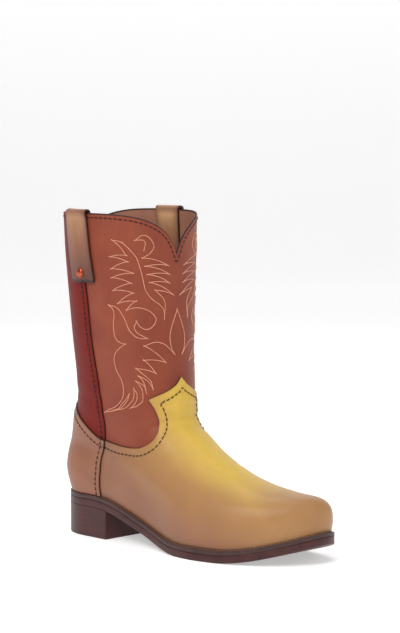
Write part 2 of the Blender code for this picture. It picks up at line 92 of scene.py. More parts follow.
SHAFT = [
    ShaftRow(0.00, 0.065, 1.02, 0.75, 0.007),
    ShaftRow(0.15, 0.050, 0.97, 0.79, -0.002),
    ShaftRow(0.35, 0.030, 0.95, 0.87, -0.006),
    ShaftRow(0.60, 0.015, 0.96, 0.94, -0.007),
    ShaftRow(0.80, 0.004, 0.98, 0.98, -0.040),
    ShaftRow(1.00, 0.000, 1.00, 1.00, -0.072),
]
ANKLE_V = len(FOOT)
COLLAR_V = len(FOOT) + len(SHAFT) - 1


# %% Small helpers
def ease(t):
    """Smooth step from 0 to 1, level before and after."""
    t = np.clip(t, 0, 1)
    return t * t * (3 - 2 * t)


def unit(vectors):
    """Vectors scaled to length 1."""
    return vectors / np.linalg.norm(vectors, axis=-1, keepdims=True)


def length_along(points):
    """Length walked from the first point of a run to each of its points."""
    return np.concatenate([[0], np.cumsum(np.linalg.norm(np.diff(points, axis=0), axis=1))])


def read_at(marks, length, values):
    """Values of a run's points, read at marks along its length."""
    return np.stack([np.interp(marks, length, column) for column in values.T], axis=1)


def closed_run(points):
    """A run that ends where it starts."""
    return np.vstack([points, points[:1]])


def new_object(name, data):
    """Object in the scene for a mesh, a lamp or a camera."""
    made = bpy.data.objects.new(name, data)
    bpy.context.scene.collection.objects.link(made)
    return made


# %% The sole's line
def sole_underside(x):
    """Height of the outsole's underside at a station measured from the back of the sole."""
    shank = SHANK_START * HEEL_LENGTH
    ball_start, ball_end = BALL_START * SOLE_LENGTH, BALL_END * SOLE_LENGTH
    down = ease((x - shank) / (ball_start - shank))
    up = np.clip((x - ball_end) / (SOLE_LENGTH - ball_end), 0, None)
    return HEEL_HEIGHT * (1 - down) + TOE_SPRING * up**SPRING_POWER


def feather_height(x):
    """Height of the welt's top, where the upper starts."""
    return sole_underside(x) + OUTSOLE_THICKNESS + WELT_THICKNESS + 2 * FIT


def swing_in(x, share):
    """How far the foot's middle turns to the inner side at a station."""
    ahead = np.clip((x / SOLE_LENGTH - SWING_START) / (1 - SWING_START), 0, None)
    return share * TOE_SWING * ahead**SWING_POWER


print("underside at the toe:", round(float(sole_underside(SOLE_LENGTH)) / MM, 1), "mm up")


# %% One section of the last
Section = namedtuple("Section", FootRow._fields)


def foot_section(row):
    """One section of the foot in metres."""
    length = SOLE_LENGTH - 2 * SOLE_EDGE
    heel_top = feather_height(SOLE_EDGE)
    toe_top = feather_height(SOLE_LENGTH - SOLE_EDGE)
    ankle = heel_top + ANKLE_RISE
    return row._replace(
        back_x=SOLE_EDGE + row.back_x * length,
        back_z=heel_top + row.back_z * ANKLE_RISE,
        front_x=SOLE_EDGE + row.front_x * length,
        front_z=toe_top + row.front_z * (ankle - toe_top),
        heel=row.heel * HEEL_WIDTH / 2,
        waist_outer=row.waist_outer * WAIST_WIDTH / 2,
        waist_inner=row.waist_inner * WAIST_WIDTH / 2,
        ball_outer=row.ball_outer * BALL_WIDTH / 2,
        ball_inner=row.ball_inner * BALL_WIDTH / 2,
        seam=row.seam * length,
    )


def shaft_section(row):
    """One level oval of the shaft in metres."""
    middle = SHAFT_STATION + row.centre * SHAFT_DEPTH
    reach, half = row.depth * SHAFT_DEPTH / 2, row.width * SHAFT_WIDTH / 2
    z = feather_height(SOLE_EDGE) + ANKLE_RISE + row.height * SHAFT_RISE
    ends = (middle - reach, z, middle + reach, z)
    stations, widths, follow_and_swing = (0.5,) * 3, (half,) * 5, (0, 0)
    return Section(*ends, *stations, *widths, *follow_and_swing, middle + row.seam * SHAFT_DEPTH)


SECTIONS = np.array([foot_section(row) for row in FOOT] + [shaft_section(row) for row in SHAFT])
SECTION_SLOPES = np.gradient(SECTIONS, axis=0)
OUTLINE_POINTS, SMALLEST_SPAN = 241, 1e-6


# %% Sections between the rows
def hermite(t, start, start_slope, end, end_slope):
    """Smooth curve between two values with given slopes."""
    low = (2 * t**3 - 3 * t**2 + 1) * start + (t**3 - 2 * t**2 + t) * start_slope
    return low + (3 * t**2 - 2 * t**3) * end + (t**3 - t**2) * end_slope


def section_at(level):
    """Section at any level: a smooth curve through each column of the table."""
    k = min(int(level), COLLAR_V - 1)
    row = hermite(level - k, SECTIONS[k], SECTION_SLOPES[k], SECTIONS[k + 1], SECTION_SLOPES[k + 1])
    return Section(*row)


def half_outline(section, side):
    """Points from back to front on one side of a section. side is -1 outer, 1 inner."""
    waist = section.waist_outer if side < 0 else section.waist_inner
    ball = section.ball_outer if side < 0 else section.ball_inner
    s = 0.5 * (1 - np.cos(np.linspace(0, math.pi, OUTLINE_POINTS)))
    back = np.clip(1 - s / section.heel_at, 0, 1)
    front = np.clip((s - section.ball_at) / (1 - section.ball_at), 0, 1)
    to_waist = ease((s - section.heel_at) / max(section.waist_at - section.heel_at, SMALLEST_SPAN))
    to_ball = ease((s - section.waist_at) / max(section.ball_at - section.waist_at, SMALLEST_SPAN))
    width = section.heel + (waist - section.heel) * to_waist + (ball - waist) * to_ball
    width = width * (1 - back**CAP_POWER) ** (1 / CAP_POWER) * (1 - front**CAP_POWER) ** (1 / CAP_POWER)
    x = section.back_x + s * (section.front_x - section.back_x)
    z = section.back_z + s * (section.front_z - section.back_z)
    toe_end = feather_height(SOLE_LENGTH - SOLE_EDGE)
    heel_end = feather_height(SOLE_EDGE)
    along = (x - SOLE_EDGE) / (SOLE_LENGTH - 2 * SOLE_EDGE)
    z = z + section.follow * (feather_height(x) - heel_end - along * (toe_end - heel_end))
    return np.stack([x, side * width + swing_in(x, section.swing), z], axis=1)


# %% [markdown]
# ## Creases
#
# Worn-in leather folds where the foot bends: across the instep at the ankle, and across the vamp
# behind the toes. Each fold is one row of a table, in millimetres and degrees: a soft trough along
# a tilted line, deepest on the ridge of the foot and fading down the sides, with a low ridge on
# either side of it. All the leathers lie on the same creased last, so that a fold goes through
# every layer.

# %% Creases in the last
Crease = namedtuple("Crease", "station height tilt width depth reach skew")
CREASES = [
    Crease(141, 114, -30, 13.0, 2.4, 42, 0.00),
    Crease(138, 131, -8, 4.2, 1.0, 27, 0.12),
    Crease(139, 119, -14, 4.4, 1.6, 34, -0.08),
    Crease(144, 109, -42, 4.2, 1.5, 31, 0.10),
    Crease(154, 102, -58, 4.0, 0.9, 26, -0.10),
    Crease(194, 81, -68, 3.8, 0.6, 27, -0.10),
    Crease(205, 76, -74, 4.0, 0.9, 32, 0.14),
    Crease(216, 72, -76, 3.8, 0.7, 28, -0.08),
    Crease(60, 132, 8, 7.0, 0.9, 60, 0.05),
]
CREASE_UNITS = Crease(MM, MM, 1, MM, MM, MM, 1)
RIDGE_SHARE = 0.9
print(len(CREASES), "creases, the deepest", max(crease.depth for crease in CREASES), "mm")


def crease_depth(points):
    """How far each point of the last is pushed in by the creases."""
    x, y, z = points[..., 0] + HEEL_LENGTH / 2, points[..., 1], points[..., 2]
    pushed = np.zeros(x.shape)
    for row in CREASES:
        crease = Crease(*[value * scale for value, scale in zip(row, CREASE_UNITS)])
        lean = math.radians(crease.tilt)
        away = (z - crease.height) * math.cos(lean) - (crease.station - x) * math.sin(lean)
        away = (away + crease.skew * y) / crease.width
        behind = (x - crease.station) * math.cos(lean) - (z - crease.height) * math.sin(lean)
        fade = np.exp(-((y**2 + behind**2) / crease.reach**2))
        pushed += crease.depth * fade * (1 - RIDGE_SHARE * away**2) * np.exp(-(away**2))
    return pushed


# %% [markdown]
# ## The skin
#
# The last is worked out once, as a fine grid of points and outward normals. After that a place
# (u, v) on the leather is read from the grid, for many places at once. Above the ankle v counts
# shares of the way up to the scalloped collar, so that v = 14 is the collar all round.

# %% The fine grid of the last
LEVEL_STEPS, TURN_STEPS = 16, 512


def last_grid():
    """Points of the last: one row for each level, one column for each step of the turn."""
    turns = np.linspace(0, 1, TURN_STEPS + 1)
    rows = []
    for level in np.arange(0, COLLAR_V * LEVEL_STEPS + 1) / LEVEL_STEPS:
        section = section_at(level)
        row = np.zeros((TURN_STEPS + 1, 3))
        for side in (-1, 1):
            points = half_outline(section, side)
            length = length_along(points[:, :2])
            seam = np.interp(section.seam, points[:, 0], length)
            mine = turns <= FRONT_U if side < 0 else turns > FRONT_U
            turn = np.where(side < 0, turns, 1 - turns)[mine]
            target = np.interp(turn, [0, SEAM_U, FRONT_U], [0, seam, length[-1]])
            row[mine] = read_at(target, length, points)
        rows.append(row)
    grid = np.array(rows)
    grid[..., 0] -= HEEL_LENGTH / 2
    return grid


def grid_normals(grid):
    """Outward unit normals at the grid's points."""
    closed = np.concatenate([grid[:, -2:-1], grid, grid[:, 1:2]], axis=1)
    normals = np.cross(closed[:, 2:] - closed[:, :-2], np.gradient(grid, axis=0))
    normals[0, :, 2] = 0
    return unit(normals)


SKIN = last_grid()
SKIN = SKIN - crease_depth(SKIN)[..., None] * grid_normals(SKIN)
SKIN_NORMALS = grid_normals(SKIN)
print("last:", SKIN.shape[0], "levels of", SKIN.shape[1], "points")


# %% Places on the skin
def collar_drop(u):
    """How far the collar dips: a notched V in front, a scallop behind."""
    from_seam = (np.abs(np.mod(u, 1) - FRONT_U) - SEAM_U) / SEAM_U
    front = np.clip(-from_seam, 0, 1)
    notched = (1 - NOTCH_SHARE) * front**SCALLOP_POWER + NOTCH_SHARE * front**NOTCH_POWER
    return FRONT_SCALLOP * notched + BACK_SCALLOP * np.clip(from_seam, 0, 1) ** SCALLOP_POWER


HEIGHT_SHARES = [row.height for row in SHAFT]
SHAFT_LEVELS = list(range(ANKLE_V, COLLAR_V + 1))


def level_of(u, v):
    """Level of the last's grid for a place, with the collar's dip taken in."""
    share = np.interp(v, SHAFT_LEVELS, HEIGHT_SHARES) * (1 - collar_drop(u) / SHAFT_RISE)
    return np.where(v > ANKLE_V, np.interp(share, HEIGHT_SHARES, SHAFT_LEVELS), v)


def sample(grid, u, level):
    """Values of a grid at any turn and level, read between its points."""
    column = np.mod(u, 1) * TURN_STEPS
    row = np.clip(level, 0, COLLAR_V) * LEVEL_STEPS
    j = np.minimum(column.astype(int), TURN_STEPS - 1)
    i = np.minimum(row.astype(int), grid.shape[0] - 2)
    s, t = (column - j)[..., None], (row - i)[..., None]
    low = grid[i, j] * (1 - s) + grid[i, j + 1] * s
    high = grid[i + 1, j] * (1 - s) + grid[i + 1, j + 1] * s
    return low * (1 - t) + high * t


def on_skin(u, v, lift=0.0):
    """Points lifted off the last at the places (u, v), and the outward normals there."""
    u, v = np.asarray(u, float), np.asarray(v, float)
    level = level_of(u, v)
    normals = unit(sample(SKIN_NORMALS, u, level))
    return sample(SKIN, u, level) + np.asarray(lift)[..., None] * normals, normals


# %% [markdown]
# ## Meshes and finishes
#
# Every piece below ends the same way: its points become a mesh, the mesh gets its finish and
# smooth shading, and the object rides on the boot's one body. The finishes come first, because a
# mesh needs one. Shader maths is easier to read as plain sums, so a small class wraps a socket
# and turns + - * / into Math nodes.

# %% Shader sums
class Amount:
    """A number that varies over a surface: one socket of a finish."""

    def __init__(self, finish, socket):
        self.finish, self.socket = finish, socket

    def _sum(self, operation, first, second):
        return self.finish.node("ShaderNodeMath", {"operation": operation}, {0: first, 1: second})

    def __add__(self, other):
        return self._sum("ADD", self, other)

    def __sub__(self, other):
        return self._sum("SUBTRACT", self, other)

    def __mul__(self, other):
        return self._sum("MULTIPLY", self, other)

    def __truediv__(self, other):
        return self._sum("DIVIDE", self, other)

    def __rsub__(self, other):
        return self._sum("SUBTRACT", other, self)

    __radd__ = __add__
    __rmul__ = __mul__

    def clamped(self):
        """The same amount kept between 0 and 1."""
        return self.finish.node("ShaderNodeClamp", {}, {0: self})


# %% Colours and finishes
def colour(red, green, blue):
    """Linear colour from the 0 to 255 steps of a paint chart."""
    steps = [red / 255, green / 255, blue / 255]
    return (*[s / 12.92 if s <= 0.04045 else ((s + 0.055) / 1.055) ** 2.4 for s in steps], 1.0)


class Finish:
    """One material and the few ways in which this boot's finishes are put together."""

    def __init__(self, name, **constants):
        self.material = bpy.data.materials.new(name)
        self.material.use_nodes = True
        self.tree = self.material.node_tree
        self.shader = self.tree.nodes["Principled BSDF"]
        for socket, value in constants.items():
            label = socket.replace("_", " ").title().replace("Ior", "IOR")
            self.shader.inputs[label].default_value = value

    def node(self, kind, settings, inputs, output=0):
        """A node with its settings made first, then its sockets set or linked."""
        made = self.tree.nodes.new(kind)
        for setting, value in settings.items():
            setattr(made, setting, value)
        for socket, value in inputs.items():
            if isinstance(value, Amount):
                self.tree.links.new(value.socket, made.inputs[socket])
            else:
                made.inputs[socket].default_value = value
        return Amount(self, made.outputs[output])

    def place(self):
        """Position on the piece, in metres of the boot's own frame."""
        return self.node("ShaderNodeTexCoord", {}, {}, "Object")

    def attribute(self, name):
        """A number stored on the piece's own points."""
        return self.node("ShaderNodeAttribute", {"attribute_name": name}, {}, "Fac")

    def clouds(self, size, detail=3.0, roughness=0.5):
        """Soft clouds whose patches have about this size."""
        inputs = {"Vector": self.place(), "Scale": 1 / size, "Detail": detail, "Roughness": roughness}
        return self.node("ShaderNodeTexNoise", {}, inputs)

    def from_cell_edges(self, size):
        """Distance from the edges of cells of about this size, as a share of that size."""
        settings, inputs = {"feature": "DISTANCE_TO_EDGE"}, {"Vector": self.place(), "Scale": 1 / size}
        return self.node("ShaderNodeTexVoronoi", settings, inputs, "Distance")

    def uneven(self, size, detail, roughness, share):
        """Clouds that swing this share about zero."""
        return (self.clouds(size, detail, roughness) - 0.5) * share

    def ramp(self, factor, stops):
        """Colour or grey from a factor, through stops of (place, colour)."""
        made = self.tree.nodes.new("ShaderNodeValToRGB")
        points = made.color_ramp.elements
        while len(points) < len(stops):
            points.new(0.5)
        for point, (place, value) in zip(points, stops):
            point.position, point.color = place, value
        self.tree.links.new(factor.socket, made.inputs[0])
        return Amount(self, made.outputs[0])

    def blend(self, factor, first, second, way="MIX"):
        """Two colours mixed by a factor."""
        settings = {"data_type": "RGBA", "blend_type": way}
        return self.node("ShaderNodeMix", settings, {"Factor": factor, 6: first, 7: second}, 2)

    def between(self, amount, low, high):
        """0 below low, 1 above high and straight between them."""
        return ((amount - low) / (high - low)).clamped()

    def feed(self, socket, amount):
        """Link an amount to the shader."""
        self.tree.links.new(amount.socket, self.shader.inputs[socket])

    def relief(self, height, distance):
        """Bump from a height, with its greatest depth in metres."""
        bump = self.node("ShaderNodeBump", {}, {"Height": height, "Distance": distance, "Strength": 1.0})
        self.feed("Normal", bump)


# %% [markdown]
# ## Leather
#
# Boot leather is a fine pebble grain with pores, dyeing that is never quite even, and a waxy top
# coat that is glossier in some places than in others. The grain goes into the bump, the dyeing
# into the colour and the wax into roughness and coat. Where a piece was cut, its edge is dyed dark.
# A mesh point that lies near a cut edge carries a number for that, called "edge". Another such
# number paints light and shade into the colour of the vamp and the straps: a painted highlight
# where light falls on them and painted shade where it falls off.

# %% Finish of a dyed leather
EDGE_DYE = colour(46, 20, 16)
SHADE_DARK, SHADE_LIGHT = (0.90, 0.89, 0.88, 1), (1.04, 1.04, 1.04, 1)
VALLEY_WIDTH, VALLEY_DYE, VALLEY_DULL, EDGE_DULL, CLOUD_DULL = 0.16, 0.22, 0.12, 0.12, 0.16
PORE_SIZE, PORE_RELIEF, VALLEY_RELIEF, CLOUD_RELIEF = 0.45 * MM, 0.25, 0.75, 0.5
GRAIN_DEPTH = 0.16 * MM


def leather_finish(name, light, dark, roughness=0.42, grain=1.1 * MM, coat=0.12, painted_shading_ramp=None, shine=0.32):
    """A dyed leather. light and dark end its uneven dyeing; a given ramp paints light and shade in its
    place.
    """
    finish = Finish(name, specular_ior_level=shine, coat_roughness=0.25)
    clouds = finish.clouds(34 * MM, 4.0, 0.55)
    # For the vamp and the straps, painted light and shade makes the base colour here.
    base = painted_shading_ramp(finish) if painted_shading_ramp else finish.ramp(clouds, [(0.30, dark), (0.70, light)])
    if painted_shading_ramp:
        shade = finish.ramp(clouds, [(0.25, SHADE_DARK), (0.75, SHADE_LIGHT)])
        base = finish.blend(1.0, base, shade, "MULTIPLY")
    valleys = 1 - finish.between(finish.from_cell_edges(grain), 0.0, VALLEY_WIDTH)
    pores = finish.clouds(PORE_SIZE, 2.0, 0.6)
    base = finish.blend(valleys * VALLEY_DYE, base, dark)
    edge = finish.attribute("edge")
    base = finish.blend(edge, base, EDGE_DYE)
    finish.feed("Base Color", base)
    dull = valleys * VALLEY_DULL + (clouds - 0.5) * CLOUD_DULL + edge * EDGE_DULL
    finish.feed("Roughness", roughness + dull)
    finish.feed("Coat Weight", coat + (clouds - 0.5) * coat)
    finish.relief(pores * PORE_RELIEF - valleys * VALLEY_RELIEF + clouds * CLOUD_RELIEF, GRAIN_DEPTH)
    return finish.material


# Gold, tan and mauve are the stops of the vamp's painted light and shade, from the lit ridge to the shaded
# sides.
GOLD, TAN, MAUVE = colour(228, 190, 76), colour(181, 134, 80), colour(150, 101, 74)


def vamp_painted_shading(finish):
    """Painted light and shade: golden in the light on the instep and the ridge of the foot, mauve brown in
    shade low on the sides.
    """
    low = finish.attribute("burnish") + finish.uneven(60 * MM, 3.0, 0.5, 0.06)
    return finish.ramp(low, [(0.12, GOLD), (0.50, TAN), (0.92, MAUVE)])


# Colours of the straps' painted light and shade, from the painted highlight on the crest to the shaded end.
STRAP_CREST, STRAP_LIGHT = colour(222, 174, 128), colour(180, 133, 96)
STRAP_MIDDLE, STRAP_DARK = colour(146, 96, 72), colour(96, 58, 48)


def strap_painted_shading(finish):
    """Painted light and shade: a painted highlight on the crown of the fold, painted shade towards the
    strap's end.
    """
    high = finish.attribute("burnish") + finish.uneven(20 * MM, 3.0, 0.5, 0.12)
    stops = [(0.08, STRAP_DARK), (0.50, STRAP_MIDDLE), (0.80, STRAP_LIGHT), (1.00, STRAP_CREST)]
    return finish.ramp(high, stops)


shaft_red = leather_finish("shaft red", colour(146, 68, 40), colour(130, 54, 34))
back_red = leather_finish("back red", colour(120, 24, 12), colour(106, 18, 10), 0.5, coat=0.04, shine=0.15)
vamp_gold = leather_finish("vamp gold", GOLD, MAUVE, 0.36, 1.0 * MM, 0.16, vamp_painted_shading)
counter_brown = leather_finish("counter brown", colour(156, 103, 76), colour(140, 88, 65))
strap_brown = leather_finish("strap brown", STRAP_LIGHT, STRAP_DARK, 0.38, 1.2 * MM, 0.2, strap_painted_shading)
lining_tan = leather_finish("lining", colour(186, 132, 108), colour(162, 110, 90), 0.62, 0.8 * MM, 0.02)
insole_tan = leather_finish("insole", colour(158, 118, 86), colour(132, 96, 70), 0.68, 0.8 * MM, 0.02)
print("leathers ready")


# %% [markdown]
# ## Sole leather, thread and copper
#
# The welt, the outsole's edge and the heel are stacked leather, inked dark and burnished with
# wax. Fine lines run along the stack, and the wax gives a soft gloss. Thread and copper are
# simpler: a base colour that varies a little, and for the copper its polish too.

# %% Finish of the sole
LAYER_THICKNESS, LAYER_STRETCH, SOLE_RELIEF = 0.9 * MM, 0.04, 0.12 * MM


def sole_finish(name, light, dark, roughness):
    """Inked and waxed sole leather, with faint lines along its layers."""
    finish = Finish(name, specular_ior_level=0.35, coat_roughness=0.3)
    clouds = finish.clouds(16 * MM, 4.0, 0.6)
    stretch = {"Vector": finish.place(), "Scale": (LAYER_STRETCH, LAYER_STRETCH, 1.0)}
    stretched = finish.node("ShaderNodeMapping", {}, stretch)
    inputs = {"Vector": stretched, "Scale": 1 / LAYER_THICKNESS, "Detail": 3.0}
    layers = finish.node("ShaderNodeTexNoise", {}, inputs)
    base = finish.ramp(clouds * 0.5 + layers * 0.5, [(0.36, dark), (0.64, light)])
    finish.feed("Base Color", base)
    finish.feed("Roughness", roughness + (clouds - 0.5) * 0.2 + (layers - 0.5) * 0.12)
    finish.feed("Coat Weight", 0.08 + (clouds - 0.5) * 0.12)
    finish.relief(layers * 0.7 + clouds * 0.6, SOLE_RELIEF)
    return finish.material


sole_brown = sole_finish("sole brown", colour(78, 35, 33), colour(54, 22, 22), 0.46)
welt_brown = sole_finish("welt brown", colour(76, 48, 44), colour(54, 33, 31), 0.5)


# %% Finish of thread and copper
def thread_finish(name, light, dark):
    """Waxed thread, a little uneven in colour."""
    finish = Finish(name, roughness=0.55, specular_ior_level=0.35)
    base = finish.ramp(finish.clouds(2.2 * MM, 2.0), [(0.35, dark), (0.65, light)])
    finish.feed("Base Color", base)
    return finish.material


def copper_finish():
    """Copper of the rivets, dulled in its low places."""
    finish = Finish("copper", metallic=1.0, coat_roughness=0.2)
    clouds = finish.clouds(1.6 * MM, 3.0)
    base = finish.ramp(clouds, [(0.3, colour(176, 78, 52)), (0.7, colour(208, 104, 72))])
    finish.feed("Base Color", base)
    finish.feed("Roughness", 0.3 + (clouds - 0.5) * 0.2)
    finish.relief(clouds, 0.05 * MM)
    return finish.material


seam_thread = thread_finish("seam thread", colour(58, 20, 16), colour(42, 13, 12))
vamp_thread = thread_finish("vamp thread", colour(62, 38, 22), colour(42, 25, 15))
ornament_thread = thread_finish("ornament thread", colour(226, 164, 134), colour(206, 142, 114))
welt_thread = thread_finish("welt thread", colour(150, 112, 84), colour(120, 86, 64))
copper = copper_finish()


# %% From points to a finished piece
SHARP = math.radians(50)


def finished(name, mesh, materials, stands_for=()):
    """Object of one piece: smooth, riding on the boot and standing for its frame node."""
    piece = new_object(name, mesh)
    for material in materials:
        mesh.materials.append(material)
    mesh.shade_smooth()
    mesh.set_sharp_from_angle(angle=SHARP)
    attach(piece, "root")
    if stands_for:
        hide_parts(*stands_for)
    triangles = sum(len(face.vertices) - 2 for face in mesh.polygons)
    print(f"{name}: {triangles} triangles")


def number_on_points(mesh, name, values):
    """Store one number for each point of a mesh."""
    layer = mesh.attributes.new(name, "FLOAT", "POINT")
    layer.data.foreach_set("value", np.asarray(values, np.float32))


def grid_faces(rows, columns, wrap_rows=False, wrap_columns=False):
    """Quads between neighbouring points of a grid that is numbered row by row."""
    i = np.arange(rows if wrap_rows else rows - 1)
    j = np.arange(columns if wrap_columns else columns - 1)
    i, j = np.meshgrid(i, j, indexing="ij")
    right, up = (j + 1) % columns, (i + 1) % rows
    corners = [i * columns + j, i * columns + right, up * columns + right, up * columns + j]
    return np.stack(corners, axis=-1).reshape(-1, 4)


def mesh_of(name, points, faces):
    """Mesh from points and faces."""
    mesh = bpy.data.meshes.new(name)
    mesh.from_pydata(np.asarray(points).tolist(), [], [list(face) for face in faces])
    mesh.validate()
    return mesh


# %% [markdown]
# ## The upper
#
# Shaft leather and lining are one wall, open at the collar and underneath. Its profile runs up
# the outside, over a rounded edge at the collar and down the inside, and is repeated round the
# boot. Faces inside the edge take the lining's finish.

# %% Upper
UPPER_WALL = 1.8 * MM
UPPER_COLUMNS = 300
OUTSIDE_ROWS, EDGE_ROWS, INSIDE_ROWS = 110, 8, 84
FEATHER_V = 0.03
SMALL_TURN, NOTCH_TURN = 2e-4, 0.0008
BELOW_COLLAR, LAST_BELOW_COLLAR, INSIDE_BELOW_COLLAR = 0.08, 0.045, 0.06


def row_round(u, v, lift=0.0):
    """Points and normals all round the boot at one height."""
    return on_skin(u, np.full(u.shape, float(v)), np.full(u.shape, lift))


def collar_frames(u):
    """At the collar: points of the skin, outward normals, and directions up and square to the edge."""
    points, normals = row_round(u, COLLAR_V)
    along = row_round(u + SMALL_TURN, COLLAR_V)[0] - row_round(u - SMALL_TURN, COLLAR_V)[0]
    return points, normals, unit(np.cross(normals, along))


def make_upper():
    """The hollow upper with its rounded collar edge."""
    spread = np.linspace(0, 1, UPPER_COLUMNS, endpoint=False)
    u = np.sort(np.append(spread, FRONT_U + np.array([-1, 1]) * NOTCH_TURN))
    columns = len(u)
    radius = UPPER_WALL / 2
    points, normals, upward = collar_frames(u)
    middle = points - radius * normals - radius * upward
    outside_v = np.linspace(FEATHER_V, COLLAR_V - BELOW_COLLAR, OUTSIDE_ROWS - 1)
    rows = [row_round(u, v)[0] for v in np.append(outside_v, COLLAR_V - LAST_BELOW_COLLAR)]
    for k in range(EDGE_ROWS + 1):
        angle = math.pi * k / EDGE_ROWS
        rows.append(middle + radius * (math.cos(angle) * normals + math.sin(angle) * upward))
    inside_v = np.linspace(COLLAR_V - INSIDE_BELOW_COLLAR, FEATHER_V, INSIDE_ROWS)
    rows += [row_round(u, v, -UPPER_WALL)[0] for v in inside_v]
    faces = grid_faces(len(rows), columns, wrap_rows=True, wrap_columns=True)
    mesh = mesh_of("upper", np.concatenate(rows), faces)
    dyed = np.zeros(len(rows))
    dyed[OUTSIDE_ROWS:OUTSIDE_ROWS + EDGE_ROWS + 1] = 1
    number_on_points(mesh, "edge", dyed.repeat(columns))
    finished("upper_leather", mesh, [shaft_red, lining_tan], ["upper"])
    lining_row = OUTSIDE_ROWS + EDGE_ROWS // 2 + 1
    inside = (np.arange(len(rows)) >= lining_row).repeat(columns)
    mesh.polygons.foreach_set("material_index", inside.astype(int))


make_upper()


# %% [markdown]
# ## Cutting leather
#
# Vamp, back panel and counter are cut from flat leather to a pattern and laid on the last. The
# pattern is a closed outline of places (u, v). It is filled with triangles by a Delaunay
# triangulation, which keeps the outline and a few rings just inside it, so that the cut edge can
# be rounded. Rows of points beside each stitch line let the thread pull the leather down.

# %% Runs of places
def spline(points, steps):
    """Smooth curve through places, ending at the last one."""
    knots = np.array(points, float)
    slopes = np.gradient(knots, axis=0)
    curve = [
        hermite(step / steps, knots[k], slopes[k], knots[k + 1], slopes[k + 1])
        for k in range(len(knots) - 1)
        for step in range(steps)
    ]
    return np.array(curve + [knots[-1]])


def straight(start, end, count=80):
    """Places on a straight line of the pattern."""
    return np.linspace(start, end, count)


def mirrored(places):
    """The same run on the other side of the boot, walked the other way."""
    return np.array([(1 - u, v) for u, v in reversed(list(places))])


def at(places, lift=0.0):
    """Points on the boot for a run of places."""
    return on_skin(places[:, 0], places[:, 1], lift)[0]


def evened(places, spacing, closed=False):
    """The same run of places with even spacing in metres on the boot."""
    places = np.asarray(places, float)
    if closed:
        places = closed_run(places)
    length = length_along(at(places))
    count = max(int(round(length[-1] / spacing)), 2)
    run = read_at(np.linspace(0, length[-1], count + 1), length, places)
    return run[:-1] if closed else run


# %% Runs beside runs
TINY, SLOPE_TURN, SLOPE_CLIMB, REFINEMENTS = 1e-9, 1e-3, 1e-2, 4


def moved_inside(places, distance, closed=False, side=1):
    """Places moved square to their run along the leather. side 1 is to its left, seen from outside."""
    points, normals = on_skin(places[:, 0], places[:, 1])
    if closed:
        along = np.roll(points, -1, axis=0) - np.roll(points, 1, axis=0)
    else:
        along = np.gradient(points, axis=0)
    across = side * np.cross(normals, along)
    across = across / np.maximum(np.linalg.norm(across, axis=1, keepdims=True), TINY)
    target = points + distance * across
    for _ in range(REFINEMENTS):
        u, v = places[:, 0], places[:, 1]
        rest = target - on_skin(u, v)[0]
        high, low = np.minimum(v + SLOPE_CLIMB, COLLAR_V), np.maximum(v - SLOPE_CLIMB, 0)
        by_u = (on_skin(u + SLOPE_TURN, v)[0] - on_skin(u - SLOPE_TURN, v)[0]) / (2 * SLOPE_TURN)
        by_v = (on_skin(u, high)[0] - on_skin(u, low)[0]) / (high - low)[:, None]
        uu, uv, vv = (by_u * by_u).sum(1), (by_u * by_v).sum(1), (by_v * by_v).sum(1)
        to_u, to_v = (by_u * rest).sum(1), (by_v * rest).sum(1)
        step = np.stack([vv * to_u - uv * to_v, uu * to_v - uv * to_u], axis=1)
        places = places + step / (uu * vv - uv**2)[:, None]
    return places


POINTS_AT_ONCE = 2000


def distance_to_run(points, run):
    """Shortest distance from each point to a run of straight steps."""
    start, step = run[:-1], np.diff(run, axis=0)
    squared = np.maximum((step**2).sum(axis=1), TINY * MM)
    nearest = np.empty(len(points))
    for first in range(0, len(points), POINTS_AT_ONCE):
        these = slice(first, first + POINTS_AT_ONCE)
        chunk = points[these, None, :] - start[None]
        t = np.clip((chunk * step[None]).sum(axis=2) / squared, 0, 1)
        gap = chunk - t[..., None] * step[None]
        nearest[these] = np.sqrt((gap**2).sum(axis=2).min(axis=1))
    return nearest


EDGE_STEP, ROW_STEP, FULL_DISTANCE = 0.5 * MM, 1.0 * MM, 0.96


def sewn_inside(run, distance, side):
    """Stitch row at a distance inside an edge, trimmed where it would cross itself in a corner."""
    edge = evened(run, EDGE_STEP)
    row = moved_inside(edge, distance, side=side)
    row = row[distance_to_run(at(row), at(edge)) > FULL_DISTANCE * distance]
    return evened(row, ROW_STEP)


# %% The flat pattern
PANEL_LEATHER = 1.2 * MM
EDGE_SPACING = 0.9 * MM
EDGE_RINGS = (0.16 * MM, 0.38 * MM, 0.75 * MM)
GROOVE_STEPS = (-1.3 * MM, -0.6 * MM, 0.0, 0.6 * MM, 1.3 * MM)
GROOVE_WIDTH, GROOVE_DEPTH = 0.8 * MM, 0.25 * MM
CLEAR_OF_EDGE, CLEAR_OF_ROW, GROOVE_CLEAR = 1.5 * MM, 1.8 * MM, 1.1 * MM
PATTERN_TURN = 0.40
PATTERN_V = (-1, ANKLE_V, COLLAR_V + 1)
PATTERN_Y = (-10.5 * MM, 94.5 * MM, 94.5 * MM + 1.2 * SHAFT_RISE)


def on_pattern(places):
    """Places laid out flat, in metres, so that the triangles come out even."""
    return np.stack([places[:, 0] * PATTERN_TURN, np.interp(places[:, 1], PATTERN_V, PATTERN_Y)], axis=1)


def off_pattern(flat):
    """Places of points on the flat pattern."""
    return np.stack([flat[:, 0] / PATTERN_TURN, np.interp(flat[:, 1], PATTERN_Y, PATTERN_V)], axis=1)


def inside_outline(flat, outline):
    """Which flat points lie inside a closed outline."""
    x, y = flat[:, :1], flat[:, 1:]
    x0, y0 = outline[:, 0], outline[:, 1]
    x1, y1 = np.roll(x0, -1), np.roll(y0, -1)
    spans = (y0 > y) != (y1 > y)
    crossing = x0 + (y - y0) * (x1 - x0) / np.where(y1 == y0, 1e-12, y1 - y0)
    return (spans & (x < crossing)).sum(axis=1) % 2 == 1


